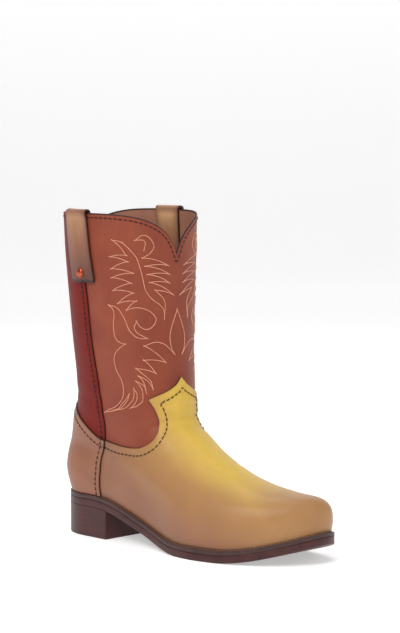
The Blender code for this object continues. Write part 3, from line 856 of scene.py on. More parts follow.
# %% Triangles inside an outline
def triangles_inside(outline, stitch_rows, spread):
    """Places and triangles that fill an outline, with rings along its edge."""
    edge = at(closed_run(outline))
    rings = [moved_inside(outline, inset, closed=True) for inset in EDGE_RINGS]
    flat = on_pattern(outline)
    low, high = flat.min(axis=0), flat.max(axis=0)
    x, y = np.meshgrid(np.arange(low[0], high[0], spread[0]), np.arange(low[1], high[1], spread[1]))
    x[1::2] += spread[0] / 2
    fill = np.stack([x.ravel(), y.ravel()], axis=1)
    fill = off_pattern(fill[inside_outline(fill, flat)])
    keep = distance_to_run(at(fill), edge) > CLEAR_OF_EDGE
    beside = []
    for row in stitch_rows:
        keep &= distance_to_run(at(fill), at(row)) > CLEAR_OF_ROW
        beside += [moved_inside(row, step) for step in GROOVE_STEPS]
    if beside:
        beside = np.concatenate(beside)
        beside = beside[inside_outline(on_pattern(beside), flat)]
        beside = [beside[distance_to_run(at(beside), edge) > GROOVE_CLEAR]]
    everything = on_pattern(np.concatenate([outline, *rings, *beside, fill[keep]]))
    count = len(outline)
    loops = [
        (ring * count + k, ring * count + (k + 1) % count)
        for ring in range(len(rings) + 1)
        for k in range(count)
    ]
    made = delaunay_2d_cdt([Vector(point) for point in everything.tolist()], loops, [], 1, 1e-7)
    flat = np.array([tuple(point) for point in made[0]])
    faces = np.array(made[2])
    a, b, c = (flat[faces[:, k]] for k in range(3))
    turn = (b[:, 0] - a[:, 0]) * (c[:, 1] - a[:, 1]) - (b[:, 1] - a[:, 1]) * (c[:, 0] - a[:, 0])
    faces[turn < 0] = faces[turn < 0][:, ::-1]
    return off_pattern(flat), faces


def rim_edges(faces):
    """Edges that belong to one triangle alone, in that triangle's order."""
    edges = np.concatenate([faces[:, [0, 1]], faces[:, [1, 2]], faces[:, [2, 0]]])
    size = int(faces.max()) + 1
    twin = np.isin(edges[:, 0] * size + edges[:, 1], edges[:, 1] * size + edges[:, 0])
    return edges[~twin]


# %% Cutting one panel
def cut_leather(name, outline, under, top, stitch_rows, spread, burnish=None):
    """Mesh of a panel. under and top are its two faces' distances off the last.

    The cut edge is half as high as the leather is thick, and rounds up to the full thickness.
    """
    outline = evened(outline, EDGE_SPACING, closed=True)
    places, faces = triangles_inside(outline, stitch_rows, spread)
    points, normals = on_skin(places[:, 0], places[:, 1])
    from_edge = distance_to_run(points, at(closed_run(outline)))
    rise = np.sqrt(1 - (1 - np.clip(from_edge / EDGE_RINGS[-1], 0, 1)) ** 2)
    lift = under + (top - under) * (0.5 + 0.5 * rise)
    for row in stitch_rows:
        lift = lift - GROOVE_DEPTH * np.exp(-((distance_to_run(points, at(row)) / GROOVE_WIDTH) ** 2))
    total = len(places)
    rim = rim_edges(faces)
    corners = [list(face) for face in faces.tolist()]
    corners += [list(face) for face in (faces[:, ::-1] + total).tolist()]
    corners += [[b, a, a + total, b + total] for a, b in rim.tolist()]
    both = np.vstack([points + lift[:, None] * normals, points + under * normals])
    mesh = mesh_of(name, both, corners)
    dark = np.clip(1.1 - from_edge / EDGE_RINGS[-1], 0, 1)
    number_on_points(mesh, "edge", np.tile(dark, 2))
    # Painted light and shade, when it is given, is stored on the points for the finish.
    if burnish:
        number_on_points(mesh, "burnish", np.tile(burnish(points), 2))
    return mesh


# %% [markdown]
# ## Vamp, back panel and counter
#
# The vamp wraps the front of the foot. Its top edge leaves the side seam in a round lobe, turns
# up into a barb and ends in a peak on the instep. The back panel is the rear half of the shaft,
# and the counter stiffens the heel over its foot.

# %% Outlines on the last
VAMP_LOBE = [(0.251, 6.98), (0.298, 6.76), (0.341, 6.88), (0.379, 7.32), (0.406, 7.90), (0.4175, 8.50),
             (0.4140, 9.00), (0.3980, 9.46)]
VAMP_BARB_TO_PEAK = [(0.3980, 9.46), (0.4485, 9.74), (0.4730, 9.94), (0.4895, 10.13), (0.5000, 10.34)]
COUNTER_TOP = [(0.0000, 9.12), (0.0500, 9.05), (0.1065, 8.72), (0.1675, 7.95), (0.2183, 7.20),
               (0.2520, 6.98)]
COUNTER_FRONT = COUNTER_TOP[-1][0]
VAMP_REAR = VAMP_LOBE[0][0]
CURVE_STEPS = 16


def closed_outline(foot_start, foot_end, top):
    """Outline from the welt up to a top edge, walked against the clock seen from outside."""
    foot = straight((foot_start, FEATHER_V), (foot_end, FEATHER_V), 500)
    far_side = straight((foot_end, FEATHER_V), top[-1])
    near_side = straight(top[0], (foot_start, FEATHER_V))
    return np.vstack([foot[:-1], far_side[:-1], top[::-1][:-1], near_side[:-1]])


vamp_side = np.vstack([spline(VAMP_LOBE, CURVE_STEPS), spline(VAMP_BARB_TO_PEAK, CURVE_STEPS)[1:]])
vamp_top = np.vstack([vamp_side, mirrored(vamp_side)[1:]])
counter_side = spline(COUNTER_TOP, CURVE_STEPS)
counter_top = np.vstack([counter_side[::-1] * (-1, 1), counter_side[1:]])
print("outlines:", len(vamp_top), "places on the vamp's top edge,", len(counter_top), "on the counter's")

# %% Stitch rows
VAMP_ROW, COUNTER_ROW, SEAM_ROW, COLLAR_ROW = 7.5 * MM, 7.5 * MM, 5.5 * MM, 4.2 * MM
SEAM_TOP, COUNTER_FRONT_FOOT = COLLAR_V - 0.02, 0.3


def both_sides(line, distance):
    """Stitch rows at a distance behind a line of the outer side and behind its mirror image."""
    return [sewn_inside(line, distance, 1), sewn_inside(line * (-1, 1), distance, -1)]


vamp_row = sewn_inside(vamp_top, VAMP_ROW, side=-1)
counter_row = sewn_inside(counter_top, COUNTER_ROW, side=-1)
counter_line = straight((COUNTER_FRONT, COUNTER_FRONT_FOOT), (COUNTER_FRONT, COUNTER_TOP[-1][1]), 200)
collar_line = straight((SEAM_U, COLLAR_V), (1 - SEAM_U, COLLAR_V), 1200)
back_collar_line = straight((-SEAM_U, COLLAR_V), (SEAM_U, COLLAR_V), 600)
seam_rows = both_sides(straight((SEAM_U, FEATHER_V), (SEAM_U, SEAM_TOP), 300), SEAM_ROW)
heel_rows = both_sides(counter_line, SEAM_ROW)
collar_row = sewn_inside(collar_line, COLLAR_ROW, side=-1)
back_collar_row = sewn_inside(back_collar_line, COLLAR_ROW, side=-1)

# %% Cut and lay the panels
PANEL_TOP = FIT + PANEL_LEATHER
COUNTER_TOP_LIFT = 3 * FIT + 2 * PANEL_LEATHER - 0.2 * MM
VAMP_SPREAD, BACK_SPREAD, COUNTER_SPREAD = (
    (0.95 * MM, 1.7 * MM),
    (1.9 * MM, 2.1 * MM),
    (1.5 * MM, 1.6 * MM),
)
# The vamp's painted shade deepens over this reach from the ridge, and towards the toe.
RIDGE_FOOT, PAINTED_SHADE_REACH = 3.6, 84 * MM
GOLD_END, TOE_END, TOE_SHARE, LOW_TOE_SHARE = 135 * MM, 262 * MM, 0.55, 0.1
ridge = at(straight((FRONT_U, RIDGE_FOOT), (FRONT_U, VAMP_BARB_TO_PEAK[-1][1]), 120))


# Painted shade on the vamp: the gold is drawn darker away from the lit ridge and towards the toe.
def painted_shade_amount(points):
    """How much painted shade darkens the gold: more down the sides, and some at the toe."""
    down = np.clip(distance_to_run(points, ridge) / PAINTED_SHADE_REACH, 0, 1)
    forward = ease((points[:, 0] - GOLD_END) / (TOE_END - GOLD_END))
    return np.maximum(down, TOE_SHARE * forward) + LOW_TOE_SHARE * down * forward


def make_panels():
    """Vamp, back panel and counter."""
    outline = closed_outline(VAMP_REAR, 1 - VAMP_REAR, vamp_top)
    mesh = cut_leather("vamp", outline, SMALL_GAP, PANEL_TOP, [vamp_row], VAMP_SPREAD, painted_shade_amount)
    finished("vamp_leather", mesh, [vamp_gold], ["vamp"])
    outline = closed_outline(-SEAM_U, SEAM_U, back_collar_line)
    rows = seam_rows + [back_collar_row]
    mesh = cut_leather("back_panel", outline, SMALL_GAP, PANEL_TOP, rows, BACK_SPREAD)
    finished("back_panel_leather", mesh, [back_red], ["back_panel"])
    outline = closed_outline(-COUNTER_FRONT, COUNTER_FRONT, counter_top)
    rows, under = heel_rows + [counter_row], PANEL_TOP + SMALL_GAP
    mesh = cut_leather("counter", outline, under, COUNTER_TOP_LIFT, rows, COUNTER_SPREAD)
    finished("counter_leather_piece", mesh, [counter_brown], ["counter"])


make_panels()


# %% [markdown]
# ## Pull straps and rivets
#
# A pull strap is one length of leather folded over the collar at the side seam, with a copper
# rivet through its outer leg. Its section, a rectangle with rounded corners, is swept along the
# fold. In front of the seam there is one leather less under the strap, so it settles there.

# %% Sizes of a pull strap
STRAP_WIDTH, STRAP_BEHIND_SEAM, STRAP_LEATHER = 27 * MM, 1.5 * MM, 2.2 * MM
STRAP_OUTER_LEG, STRAP_INNER_LEG, STRAP_LOOP_RISE = 65.5 * MM, 55 * MM, 1.2 * MM
STRAP_CORNER, STRAP_END_SHARE, STRAP_DARK_EDGE = 0.7 * MM, 0.55, 0.8 * MM
LEG_STEPS, LOOP_STEPS, ACROSS_STEPS, REACH_TURN = 44, 28, 18, 0.02
SETTLED, SETTLE_START, SETTLE_WIDTH, SETTLE_BELOW = 1.1 * MM, 1 * MM, 4 * MM, 8 * MM
STRAP_CROWN, CROWN_BELOW = 0.8 * MM, 12 * MM
QUARTER_TURN = np.linspace(0, math.pi / 2, 5)
# Painted light and shade on the straps: lit high on the leg, in painted shade low, at the sides and at the
# fold's top, the inner leg a little lighter.
SHADING_HEIGHTS, SHADING_SHARES = (-1.0, -0.2, -0.08, 0.02), (0.03, 0.72, 0.84, 0.55)
SHADED_SIDES, INNER_LIGHTENING = 0.5, 0.16
SIDES = (("outer", -1), ("inner", 1))


# %% The strap's run and section
def strap_places(across, height, lift, side):
    """Points of a pull strap: across it, above the collar and off the last, all arrays."""
    reach = np.linalg.norm(on_skin(SEAM_U, COLLAR_V)[0] - on_skin(SEAM_U - REACH_TURN, COLLAR_V)[0])
    u = SEAM_U + (across - STRAP_BEHIND_SEAM) / (reach / REACH_TURN)
    share = 1 + np.minimum(height, 0) / (SHAFT_RISE - collar_drop(u))
    v = np.interp(share, HEIGHT_SHARES, SHAFT_LEVELS)
    u = u if side < 0 else 1 - u
    points, normals = on_skin(u, v)
    level = unit(normals * (1, 1, 0))
    return points + lift[..., None] * level + np.maximum(height, 0)[..., None] * (0, 0, 1)


def strap_fold():
    """The strap's run: height above the collar and distance off the last, of its under face."""
    outer, inner = 3 * FIT + PANEL_LEATHER, -(UPPER_WALL + 2 * FIT)
    radius, middle = (outer - inner) / 2, (outer + inner) / 2
    angles = np.linspace(0, math.pi, LOOP_STEPS + 1)
    up = np.linspace(-STRAP_OUTER_LEG, 0, LEG_STEPS, endpoint=False)
    down = np.linspace(0, -STRAP_INNER_LEG, LEG_STEPS + 1)[1:]
    height = np.concatenate([up, STRAP_LOOP_RISE * np.sin(angles), down])
    loop = middle + radius * np.cos(angles)
    return height, np.concatenate([np.full(up.shape, outer), loop, np.full(down.shape, inner)])


def strap_section():
    """Rounded rectangle of the strap: distances across it and through its leather."""
    reach = STRAP_WIDTH / 2 - STRAP_CORNER
    flat = np.linspace(-reach, reach, ACROSS_STEPS)
    corner = list(zip(STRAP_CORNER * np.sin(QUARTER_TURN), STRAP_CORNER * (1 - np.cos(QUARTER_TURN))))[1:]
    right = [(reach + a, b) for a, b in corner]
    right += [(reach + a, STRAP_LEATHER - b) for a, b in corner[::-1]]
    section = [(a, 0.0) for a in flat] + right + [(a, STRAP_LEATHER) for a in flat[::-1]]
    return np.array(section + [(-a, STRAP_LEATHER - b) for a, b in right])


# %% Fold and make the straps
def strap_rows():
    """The strap as rows of its section: across it, above the collar, off the last; and rows from an end."""
    height, lift = strap_fold()
    along = unit(np.stack([np.gradient(height), np.gradient(lift)], axis=1))
    across, through = strap_section().T
    ends = np.minimum(np.arange(len(height)), np.arange(len(height))[::-1])
    fullness = np.where(ends == 0, STRAP_END_SHARE, 1.0)[:, None]
    through = STRAP_LEATHER / 2 + (through - STRAP_LEATHER / 2)[None] * fullness
    rows_height = height[:, None] - through * along[:, 1:]
    rows_lift = lift[:, None] + through * along[:, :1]
    settle = ease((across - STRAP_BEHIND_SEAM + SETTLE_START) / SETTLE_WIDTH)
    on_outside = ease(-height / SETTLE_BELOW) * (lift > 0)
    rows_lift = rows_lift - SETTLED * on_outside[:, None] * settle[None]
    crown = STRAP_CROWN * (1 - (2 * across / STRAP_WIDTH) ** 2)
    on_legs = np.sign(lift) * ease(-height / CROWN_BELOW)
    rows_lift = rows_lift + crown[None] * on_legs[:, None]
    return np.broadcast_to(across[None], rows_height.shape), rows_height, rows_lift, ends


def make_strap(place, side):
    """One pull strap, its two ends rounded off and closed."""
    rows_across, rows_height, rows_lift, ends = strap_rows()
    points = strap_places(rows_across, rows_height, rows_lift, side)
    if side > 0:
        points = points[:, ::-1]
    count, around = points.shape[:2]
    faces = grid_faces(count, around, wrap_columns=True).tolist()
    faces += [list(range(around))[::-1], [(count - 1) * around + k for k in range(around)]]
    faces = [face[::-1] for face in faces]
    mesh = mesh_of(f"pull_strap_{place}", points.reshape(-1, 3), faces)
    from_side = STRAP_WIDTH / 2 - np.abs(rows_across)
    dark = np.clip(1 - from_side / STRAP_DARK_EDGE, 0, 1)
    dark[ends <= 1] = 1
    # Painted light and shade along the strap, from the tables above.
    strap_shading = np.interp(rows_height / STRAP_OUTER_LEG, SHADING_HEIGHTS, SHADING_SHARES)
    strap_shading = strap_shading * (1 - SHADED_SIDES * (2 * rows_across / STRAP_WIDTH) ** 4)
    strap_shading = strap_shading + INNER_LIGHTENING * (strap_fold()[1] < 0)[:, None]
    if side > 0:
        dark, strap_shading = dark[:, ::-1], strap_shading[:, ::-1]
    number_on_points(mesh, "edge", dark.ravel())
    number_on_points(mesh, "burnish", strap_shading.ravel())
    name = f"pull_strap_{place}"
    finished(f"{name}_leather", mesh, [strap_brown], [name])


for place, side in SIDES:
    make_strap(place, side)

# %% Rivets
RIVET_RADIUS, RIVET_DOME, RIVET_FROM_END, RIVET_TURNS = 4.9 * MM, 1.8 * MM, 9 * MM, 48
WASHER_EDGE, WASHER_RISE, WASHER_SIDE, RIVET_SINK = 0.9 * MM, 0.45 * MM, 0.6, 0.4 * MM


def rivet_profile():
    """Radius and height from the washer's rim to the top of the dome."""
    cap, shoulder = RIVET_RADIUS - WASHER_EDGE, WASHER_RISE * WASHER_SIDE
    washer = [
        (RIVET_RADIUS, 0),
        (RIVET_RADIUS, shoulder),
        (RIVET_RADIUS - 0.2 * MM, WASHER_RISE),
        (cap + 0.25 * MM, WASHER_RISE),
        (cap, WASHER_RISE / 2),
    ]
    angles = np.linspace(0.12, math.pi / 2, 12)[:-1]
    dome = [(cap * math.cos(a), shoulder + (RIVET_DOME - shoulder) * math.sin(a)) for a in angles]
    return np.array(washer + dome)


def make_rivet(place, side):
    """A copper rivet: washer and domed head, turned and set on the strap."""
    height = np.array(RIVET_FROM_END - STRAP_OUTER_LEG)
    seat_lift = 3 * FIT + PANEL_LEATHER + STRAP_LEATHER + STRAP_CROWN - RIVET_SINK
    seat = strap_places(np.array(0.0), height, np.array(seat_lift), side)
    outward = unit(seat - strap_places(np.array(0.0), height, np.array(0.0), side))
    right = np.cross((0, 0, 1), outward)
    upward = np.cross(outward, right)
    turns = np.linspace(0, 2 * math.pi, RIVET_TURNS, endpoint=False)
    spokes = np.cos(turns)[:, None] * right + np.sin(turns)[:, None] * upward
    profile = rivet_profile()
    rows = [seat + radius * spokes + rise * outward for radius, rise in profile]
    points = np.concatenate(rows + [[seat + RIVET_DOME * outward], [seat]])
    count = len(profile)
    top, bottom = count * RIVET_TURNS, count * RIVET_TURNS + 1
    faces = grid_faces(count, RIVET_TURNS, wrap_columns=True).tolist()
    last = (count - 1) * RIVET_TURNS
    faces += [[last + k, last + (k + 1) % RIVET_TURNS, top] for k in range(RIVET_TURNS)]
    faces += [[(k + 1) % RIVET_TURNS, k, bottom] for k in range(RIVET_TURNS)]
    mesh = mesh_of(f"rivet_{place}", points, faces)
    finished(f"rivet_{place}_copper", mesh, [copper], [f"rivet_{place}"])


for place, side in SIDES:
    make_rivet(place, side)


# %% [markdown]
# ## The sole
#
# Insole, welt and outsole follow one outline. A loop of points runs round it, and moving the loop
# in by small insets while stepping up or down makes rounded edges. The outline's two sides have
# matching points, so that the flat faces are filled by strips straight across the sole.

# %% The sole's outline
def sole_loop():
    """Loop round the sole at its edge, seen from above against the clock, and its outward normals."""
    runs, outwards = [], []
    for side in (-1, 1):
        points = half_outline(section_at(0), side)[:, :2]
        along = unit(np.gradient(points, axis=0))
        runs.append(points)
        outwards.append(-side * np.stack([along[:, 1], -along[:, 0]], axis=1))
    middle = [(runs[0][k] + runs[1][k]) / 2 for k in (0, -1)]
    for run, outward in zip(runs, outwards):
        run[0], run[-1] = middle
        outward[0], outward[-1] = (-1, 0), (1, 0)
    loop = np.concatenate([runs[0], runs[1][-2:0:-1]])
    outward = np.concatenate([outwards[0], outwards[1][-2:0:-1]])
    return loop, outward


SOLE_LOOP, SOLE_OUTWARD = sole_loop()
SOLE_POINTS = len(SOLE_LOOP)


def sole_ring(inset, height):
    """Points round the sole, moved in by inset, at a height above the sole's underside."""
    plan = SOLE_LOOP + SOLE_OUTWARD * (SOLE_EDGE - inset)
    z = sole_underside(plan[:, 0]) + height
    return np.column_stack([plan[:, 0] - HEEL_LENGTH / 2, plan[:, 1], z])


def strips_across(first, count, upward):
    """Faces that fill a loop straight across, from its one side to the other."""
    faces = []
    for k in range(count // 2):
        face = [k, k + 1, (count - k - 1) % count, (count - k) % count]
        face = list(dict.fromkeys(face))
        faces.append([first + j for j in (face if upward else face[::-1])])
    return faces


def plate(name, rings):
    """Closed plate from rings of (inset, height), from its underside round to its top."""
    rows = [sole_ring(inset, height) for inset, height in rings]
    faces = grid_faces(len(rows), SOLE_POINTS, wrap_columns=True).tolist()
    faces += strips_across(0, SOLE_POINTS, upward=False)
    faces += strips_across((len(rows) - 1) * SOLE_POINTS, SOLE_POINTS, upward=True)
    return mesh_of(name, np.concatenate(rows), faces)


def rounded(inset, low, high, corner):
    """Rings of an edge at inset from height low to high, with both corners rounded."""
    turns = [(corner * (1 - math.sin(a)), corner * (1 - math.cos(a))) for a in QUARTER_TURN]
    bottom = [(inset + across, low + up) for across, up in turns]
    return bottom + [(inset + up, high - across) for across, up in turns]


# %% Outsole, insole and welt
SOLE_CORNER, WELT_CORNER = 0.8 * MM, 0.55 * MM
CHANNEL_INSET, CHANNEL_WIDTH, CHANNEL_DEPTH = 6 * MM, 0.7 * MM, 0.4 * MM
FLAT_INSET, WELT_SHELF = 14 * MM, 2 * MM


def make_sole_plates():
    """The layers of the sole, each with rounded and burnished edges."""
    channel = [
        (CHANNEL_INSET + CHANNEL_WIDTH, 0),
        (CHANNEL_INSET + 0.7 * CHANNEL_WIDTH, CHANNEL_DEPTH),
        (CHANNEL_INSET + 0.3 * CHANNEL_WIDTH, CHANNEL_DEPTH),
        (CHANNEL_INSET, 0),
    ]
    edge = rounded(0, 0, OUTSOLE_THICKNESS, SOLE_CORNER)
    rings = [(FLAT_INSET, 0)] + channel + edge + [(FLAT_INSET, OUTSOLE_THICKNESS)]
    finished("outsole_leather", plate("outsole", rings), [sole_brown], ["outsole"])
    low = OUTSOLE_THICKNESS + FIT
    inset = WELT_WIDTH + FIT
    edge = rounded(inset, low, low + INSOLE_THICKNESS, WELT_CORNER)
    rings = [(FLAT_INSET + inset, low)] + edge + [(FLAT_INSET + inset, low + INSOLE_THICKNESS)]
    finished("insole_leather_piece", plate("insole", rings), [insole_tan], ["insole"])


def make_welt():
    """The welt: a closed strip round the whole sole."""
    low, high = OUTSOLE_THICKNESS + SMALL_GAP, OUTSOLE_THICKNESS + FIT + WELT_THICKNESS
    rings = [(WELT_WIDTH, low)] + rounded(0, low, high, WELT_CORNER)
    rings += [(WELT_SHELF, high), (WELT_WIDTH, high)]
    rows = [sole_ring(inset, height) for inset, height in rings]
    faces = grid_faces(len(rows), SOLE_POINTS, wrap_rows=True, wrap_columns=True)
    mesh = mesh_of("welt", np.concatenate(rows), faces)
    finished("welt_leather_piece", mesh, [welt_brown], ["welt"])


make_sole_plates()
make_welt()

# %% Heel
HEEL_CORNER, BREAST_CORNER = 0.7 * MM, 1.2 * MM
HEEL_POINTS, HEEL_BANDS, HEEL_FILL = 320, 24, (0.0, 0.35, 0.7)


def heel_outline():
    """Loop round the heel in plan: the sole's outline back to a straight breast."""
    edge = SOLE_LOOP + SOLE_OUTWARD * SOLE_EDGE
    half = SOLE_POINTS // 2
    outer, inner = edge[:half + 1], np.vstack([edge[half:], edge[:1]])[::-1]
    corners = [np.interp(HEEL_LENGTH, side[:, 0], side[:, 1]) for side in (outer, inner)]
    kept = [side[side[:, 0] < HEEL_LENGTH - BREAST_CORNER] for side in (outer, inner)]
    x = HEEL_LENGTH - BREAST_CORNER * (1 - np.sin(QUARTER_TURN))
    y = BREAST_CORNER * (1 - np.cos(QUARTER_TURN))
    outer_arc = np.stack([x, corners[0] + y], axis=1)
    inner_arc = np.stack([x, corners[1] - y], axis=1)[::-1]
    loop = closed_run(np.vstack([kept[0], outer_arc, inner_arc, kept[1][::-1][:-1]]))
    length = length_along(loop)
    return read_at(np.linspace(0, length[-1], HEEL_POINTS, endpoint=False), length, loop)


def make_heel():
    """The block heel, from the floor up to the outsole."""
    loop = heel_outline()
    along = np.roll(loop, -1, axis=0) - np.roll(loop, 1, axis=0)
    outward = unit(np.stack([along[:, 1], -along[:, 0]], axis=1))
    middle = loop.mean(axis=0)
    shapes = [(share, 0.0, 0.0) for share in HEEL_FILL]
    shapes += [(1.0, *ring) for ring in rounded(0, 0, 0, HEEL_CORNER)[:len(QUARTER_TURN)]]
    below = len(shapes)
    shapes += [(1.0, 0.0, None)] * HEEL_BANDS
    shapes += [(share, 0.0, None) for share in HEEL_FILL[::-1]]
    rows = []
    for k, (share, inset, height) in enumerate(shapes):
        plan = middle + share * (loop - outward * inset - middle)
        top = sole_underside(plan[:, 0]) - SMALL_GAP
        if height is None:
            band = min(k - below + 1, HEEL_BANDS) / HEEL_BANDS
            z = HEEL_CORNER + (top - HEEL_CORNER) * band
        else:
            z = np.full(HEEL_POINTS, height)
        rows.append(np.column_stack([plan[:, 0] - HEEL_LENGTH / 2, plan[:, 1], z]))
    faces = grid_faces(len(rows), HEEL_POINTS, wrap_columns=True)
    bm = bmesh.new()
    bm.from_mesh(mesh_of("heel_rows", np.concatenate(rows), faces))
    bmesh.ops.remove_doubles(bm, verts=bm.verts[:], dist=1e-7)
    mesh = bpy.data.meshes.new("heel")
    bm.to_mesh(mesh)
    bm.free()
    finished("heel_block", mesh, [sole_brown], ["heel"])


make_heel()


# %% [markdown]
# ## Stitches
#
# A stitch is a short arch of waxed thread that dips into the leather at both ends. Hundreds of
# them follow the stitch rows, which is what Geometry Nodes are for: the tree below takes the rows
# as edges of a mesh, spaces points along them, turns an arch to the leather at each point, and
# makes the instances real. The rows carry the leather's normal in an attribute called "up".

# %% The stitch tree
STITCH_SOCKETS = {"Pitch": "Float", "Length": "Float", "Radius": "Float", "Rise": "Float", "Dip": "Float",
                  "Seed": "Int", "Thread": "Material"}
WOBBLE = (0.0, 0.0, 0.07)


def stitch_tree():
    """Geometry Nodes tree that sews along the edges of a mesh."""
    tree = bpy.data.node_groups.new("sewing", "GeometryNodeTree")
    for name, kind in {"Rows": "Geometry", **STITCH_SOCKETS}.items():
        tree.interface.new_socket(name, in_out="INPUT", socket_type=f"NodeSocket{kind}")
    tree.interface.new_socket("Stitches", in_out="OUTPUT", socket_type="NodeSocketGeometry")
    start, end = tree.nodes.new("NodeGroupInput").outputs, tree.nodes.new("NodeGroupOutput").inputs

    def node(kind, links, **settings):
        made = tree.nodes.new(kind)
        for setting, value in settings.items():
            setattr(made, setting, value)
        for socket, value in links.items():
            if isinstance(value, bpy.types.NodeSocket):
                tree.links.new(value, made.inputs[socket])
            else:
                made.inputs[socket].default_value = value
        return made.outputs

    def times(socket, factor):
        return node("ShaderNodeMath", {0: socket, 1: factor}, operation="MULTIPLY")[0]

    rows = node("GeometryNodeMeshToCurve", {0: start["Rows"]})[0]
    spaced = node("GeometryNodeResampleCurve", {"Curve": rows, "Length": start["Pitch"]}, mode="LENGTH")[0]
    up = node("GeometryNodeInputNamedAttribute", {"Name": "up"}, data_type="FLOAT_VECTOR")[0]
    along = node("GeometryNodeInputTangent", {})[0]
    axes = {"primary_axis": "Z", "secondary_axis": "X"}
    turned = node("FunctionNodeAxesToRotation", {0: up, 1: along}, **axes)[0]
    back, ahead = times(start["Length"], -0.5), times(start["Length"], 0.5)
    below = times(start["Dip"], -1.0)
    rise = {0: start["Rise"], 1: 2.0, 2: start["Dip"]}
    crown = node("ShaderNodeMath", rise, operation="MULTIPLY_ADD")[0]
    stops = {"Start": (back, below), "Middle": (0.0, crown), "End": (ahead, below)}
    stops = {name: node("ShaderNodeCombineXYZ", {0: x, 2: z})[0] for name, (x, z) in stops.items()}
    arch = node("GeometryNodeCurveQuadraticBezier", {"Resolution": 6, **stops})[0]
    ring = node("GeometryNodeCurvePrimitiveCircle", {"Resolution": 6, "Radius": start["Radius"]})[0]
    thread = node("GeometryNodeCurveToMesh", {"Curve": arch, "Profile Curve": ring, "Fill Caps": True})[0]
    spin = {0: [-angle for angle in WOBBLE], 1: WOBBLE, "Seed": start["Seed"]}
    spin = node("FunctionNodeRandomValue", spin, data_type="FLOAT_VECTOR")[0]
    wobbled = node("FunctionNodeRotateRotation", {0: turned, 1: spin}, rotation_space="LOCAL")[0]
    arches = {"Points": spaced, "Instance": thread, "Rotation": wobbled}
    real = node("GeometryNodeRealizeInstances", {0: node("GeometryNodeInstanceOnPoints", arches)[0]})[0]
    threaded = node("GeometryNodeSetMaterial", {"Geometry": real, "Material": start["Thread"]})[0]
    tree.links.new(threaded, end[0])
    return tree


SEWING = stitch_tree()
print("sewing tree:", len(SEWING.nodes), "nodes")

# %% Sew along runs
Seam = namedtuple("Seam", "pitch length radius rise")
PLAIN_SEAM = Seam(4.9 * MM, 3.3 * MM, 0.58 * MM, 0.35 * MM)
ORNAMENT_SEAM = Seam(2.3 * MM, 2.4 * MM, 0.36 * MM, 0.28 * MM)
WELT_SEAM = Seam(3.8 * MM, 3.2 * MM, 0.50 * MM, 0.35 * MM)
DIP = 0.45 * MM


def sew(name, runs, seam, thread, seed):
    """Sew along runs of (points, normals) and leave a plain mesh of thread."""
    points = np.concatenate([run[0] for run in runs])
    ups = np.concatenate([run[1] for run in runs])
    edges, first = [], 0
    for run, _ in runs:
        edges += [(first + k, first + k + 1) for k in range(len(run) - 1)]
        first += len(run)
    rows = bpy.data.meshes.new(name)
    rows.from_pydata(points.tolist(), edges, [])
    layer = rows.attributes.new("up", "FLOAT_VECTOR", "POINT")
    layer.data.foreach_set("vector", np.asarray(ups, np.float32).ravel())
    guide = new_object(name + "_guide", rows)
    sewing = guide.modifiers.new("sewing", "NODES")
    sewing.node_group = SEWING
    values = dict(zip(STITCH_SOCKETS, (*seam, DIP, seed, thread)))
    for item in SEWING.interface.items_tree:
        if item.name in values:
            sewing[item.identifier] = values[item.name]
    evaluated = guide.evaluated_get(bpy.context.evaluated_depsgraph_get())
    mesh = bpy.data.meshes.new_from_object(evaluated)
    guide.modifiers.remove(sewing)
    bpy.data.objects.remove(guide)
    finished(name, mesh, [])


def row_on(places, lift):
    """Points and normals of a stitch row lying on a leather."""
    return on_skin(places[:, 0], places[:, 1], np.full(len(places), lift))


# %% Sew the seams
STITCH_SINK, COLLAR_SEAT, COUNTER_COVERS = 0.15 * MM, 0.05 * MM, 7.15
panel_seat = PANEL_TOP - GROOVE_DEPTH + STITCH_SINK
counter_seat = COUNTER_TOP_LIFT - GROOVE_DEPTH + STITCH_SINK


def above(row, v):
    """The part of a row that lies above a level."""
    return row[row[:, 1] > v]


shaft_rows = [row_on(collar_row, COLLAR_SEAT), row_on(back_collar_row, panel_seat)]
shaft_rows += [row_on(above(row, COUNTER_COVERS), panel_seat) for row in seam_rows]
counter_rows = [row_on(row, counter_seat) for row in (counter_row, *heel_rows)]
sew("shaft_stitches", shaft_rows, PLAIN_SEAM, seam_thread, 1)
sew("vamp_stitches", [row_on(vamp_row, panel_seat)], PLAIN_SEAM, vamp_thread, 2)
sew("counter_stitches", counter_rows, PLAIN_SEAM, vamp_thread, 3)


# %% [markdown]
# ## The ornament
#
# Rows of salmon thread on the shaft draw the old western figure: on each side of the front a
# feather with barbs on both edges, a hook above it and a scroll and flames below, and a spear in
# the middle. It is charted in millimetres: how far a point lies from the front's middle, and how
# high above the floor. Smooth strokes go through their points. Barbs are a zigzag of tips and
# roots whose sides bow a little.

# %% Chart of the ornament
STEM = [(65, 286), (56, 284), (48, 277), (42, 269.5), (38.5, 259.5), (36, 249.5), (33.5, 239.5),
        (27.5, 231), (20, 225.5), (15.5, 220), (15, 213)]
HOOK = [[(35, 277), (34, 283), (36.5, 286), (43.5, 286)],
        [(43.5, 286), (36.5, 290.5), (30, 288), (25.5, 280.5), (29, 274), (36, 269.5)]]
FEATHER_TIP = [(65, 286), (57.5, 280), (51.5, 272)]
OUTER_BARBS = [(51.5, 272), (67, 270.5), (50.5, 266), (65.5, 259), (45.5, 255), (65, 250.5), (47, 245.5),
               (64, 239), (45, 237), (59, 227), (42.5, 229), (51, 221)]
INNER_BARBS = [(36, 269.5), (10.5, 261.5), (33.5, 261.5), (9, 253), (31.5, 253.5), (9, 245), (29, 246),
               (4.5, 234), (23.5, 239)]
FEATHER_POINT = [(23.5, 239), (14.5, 228), (15, 213)]
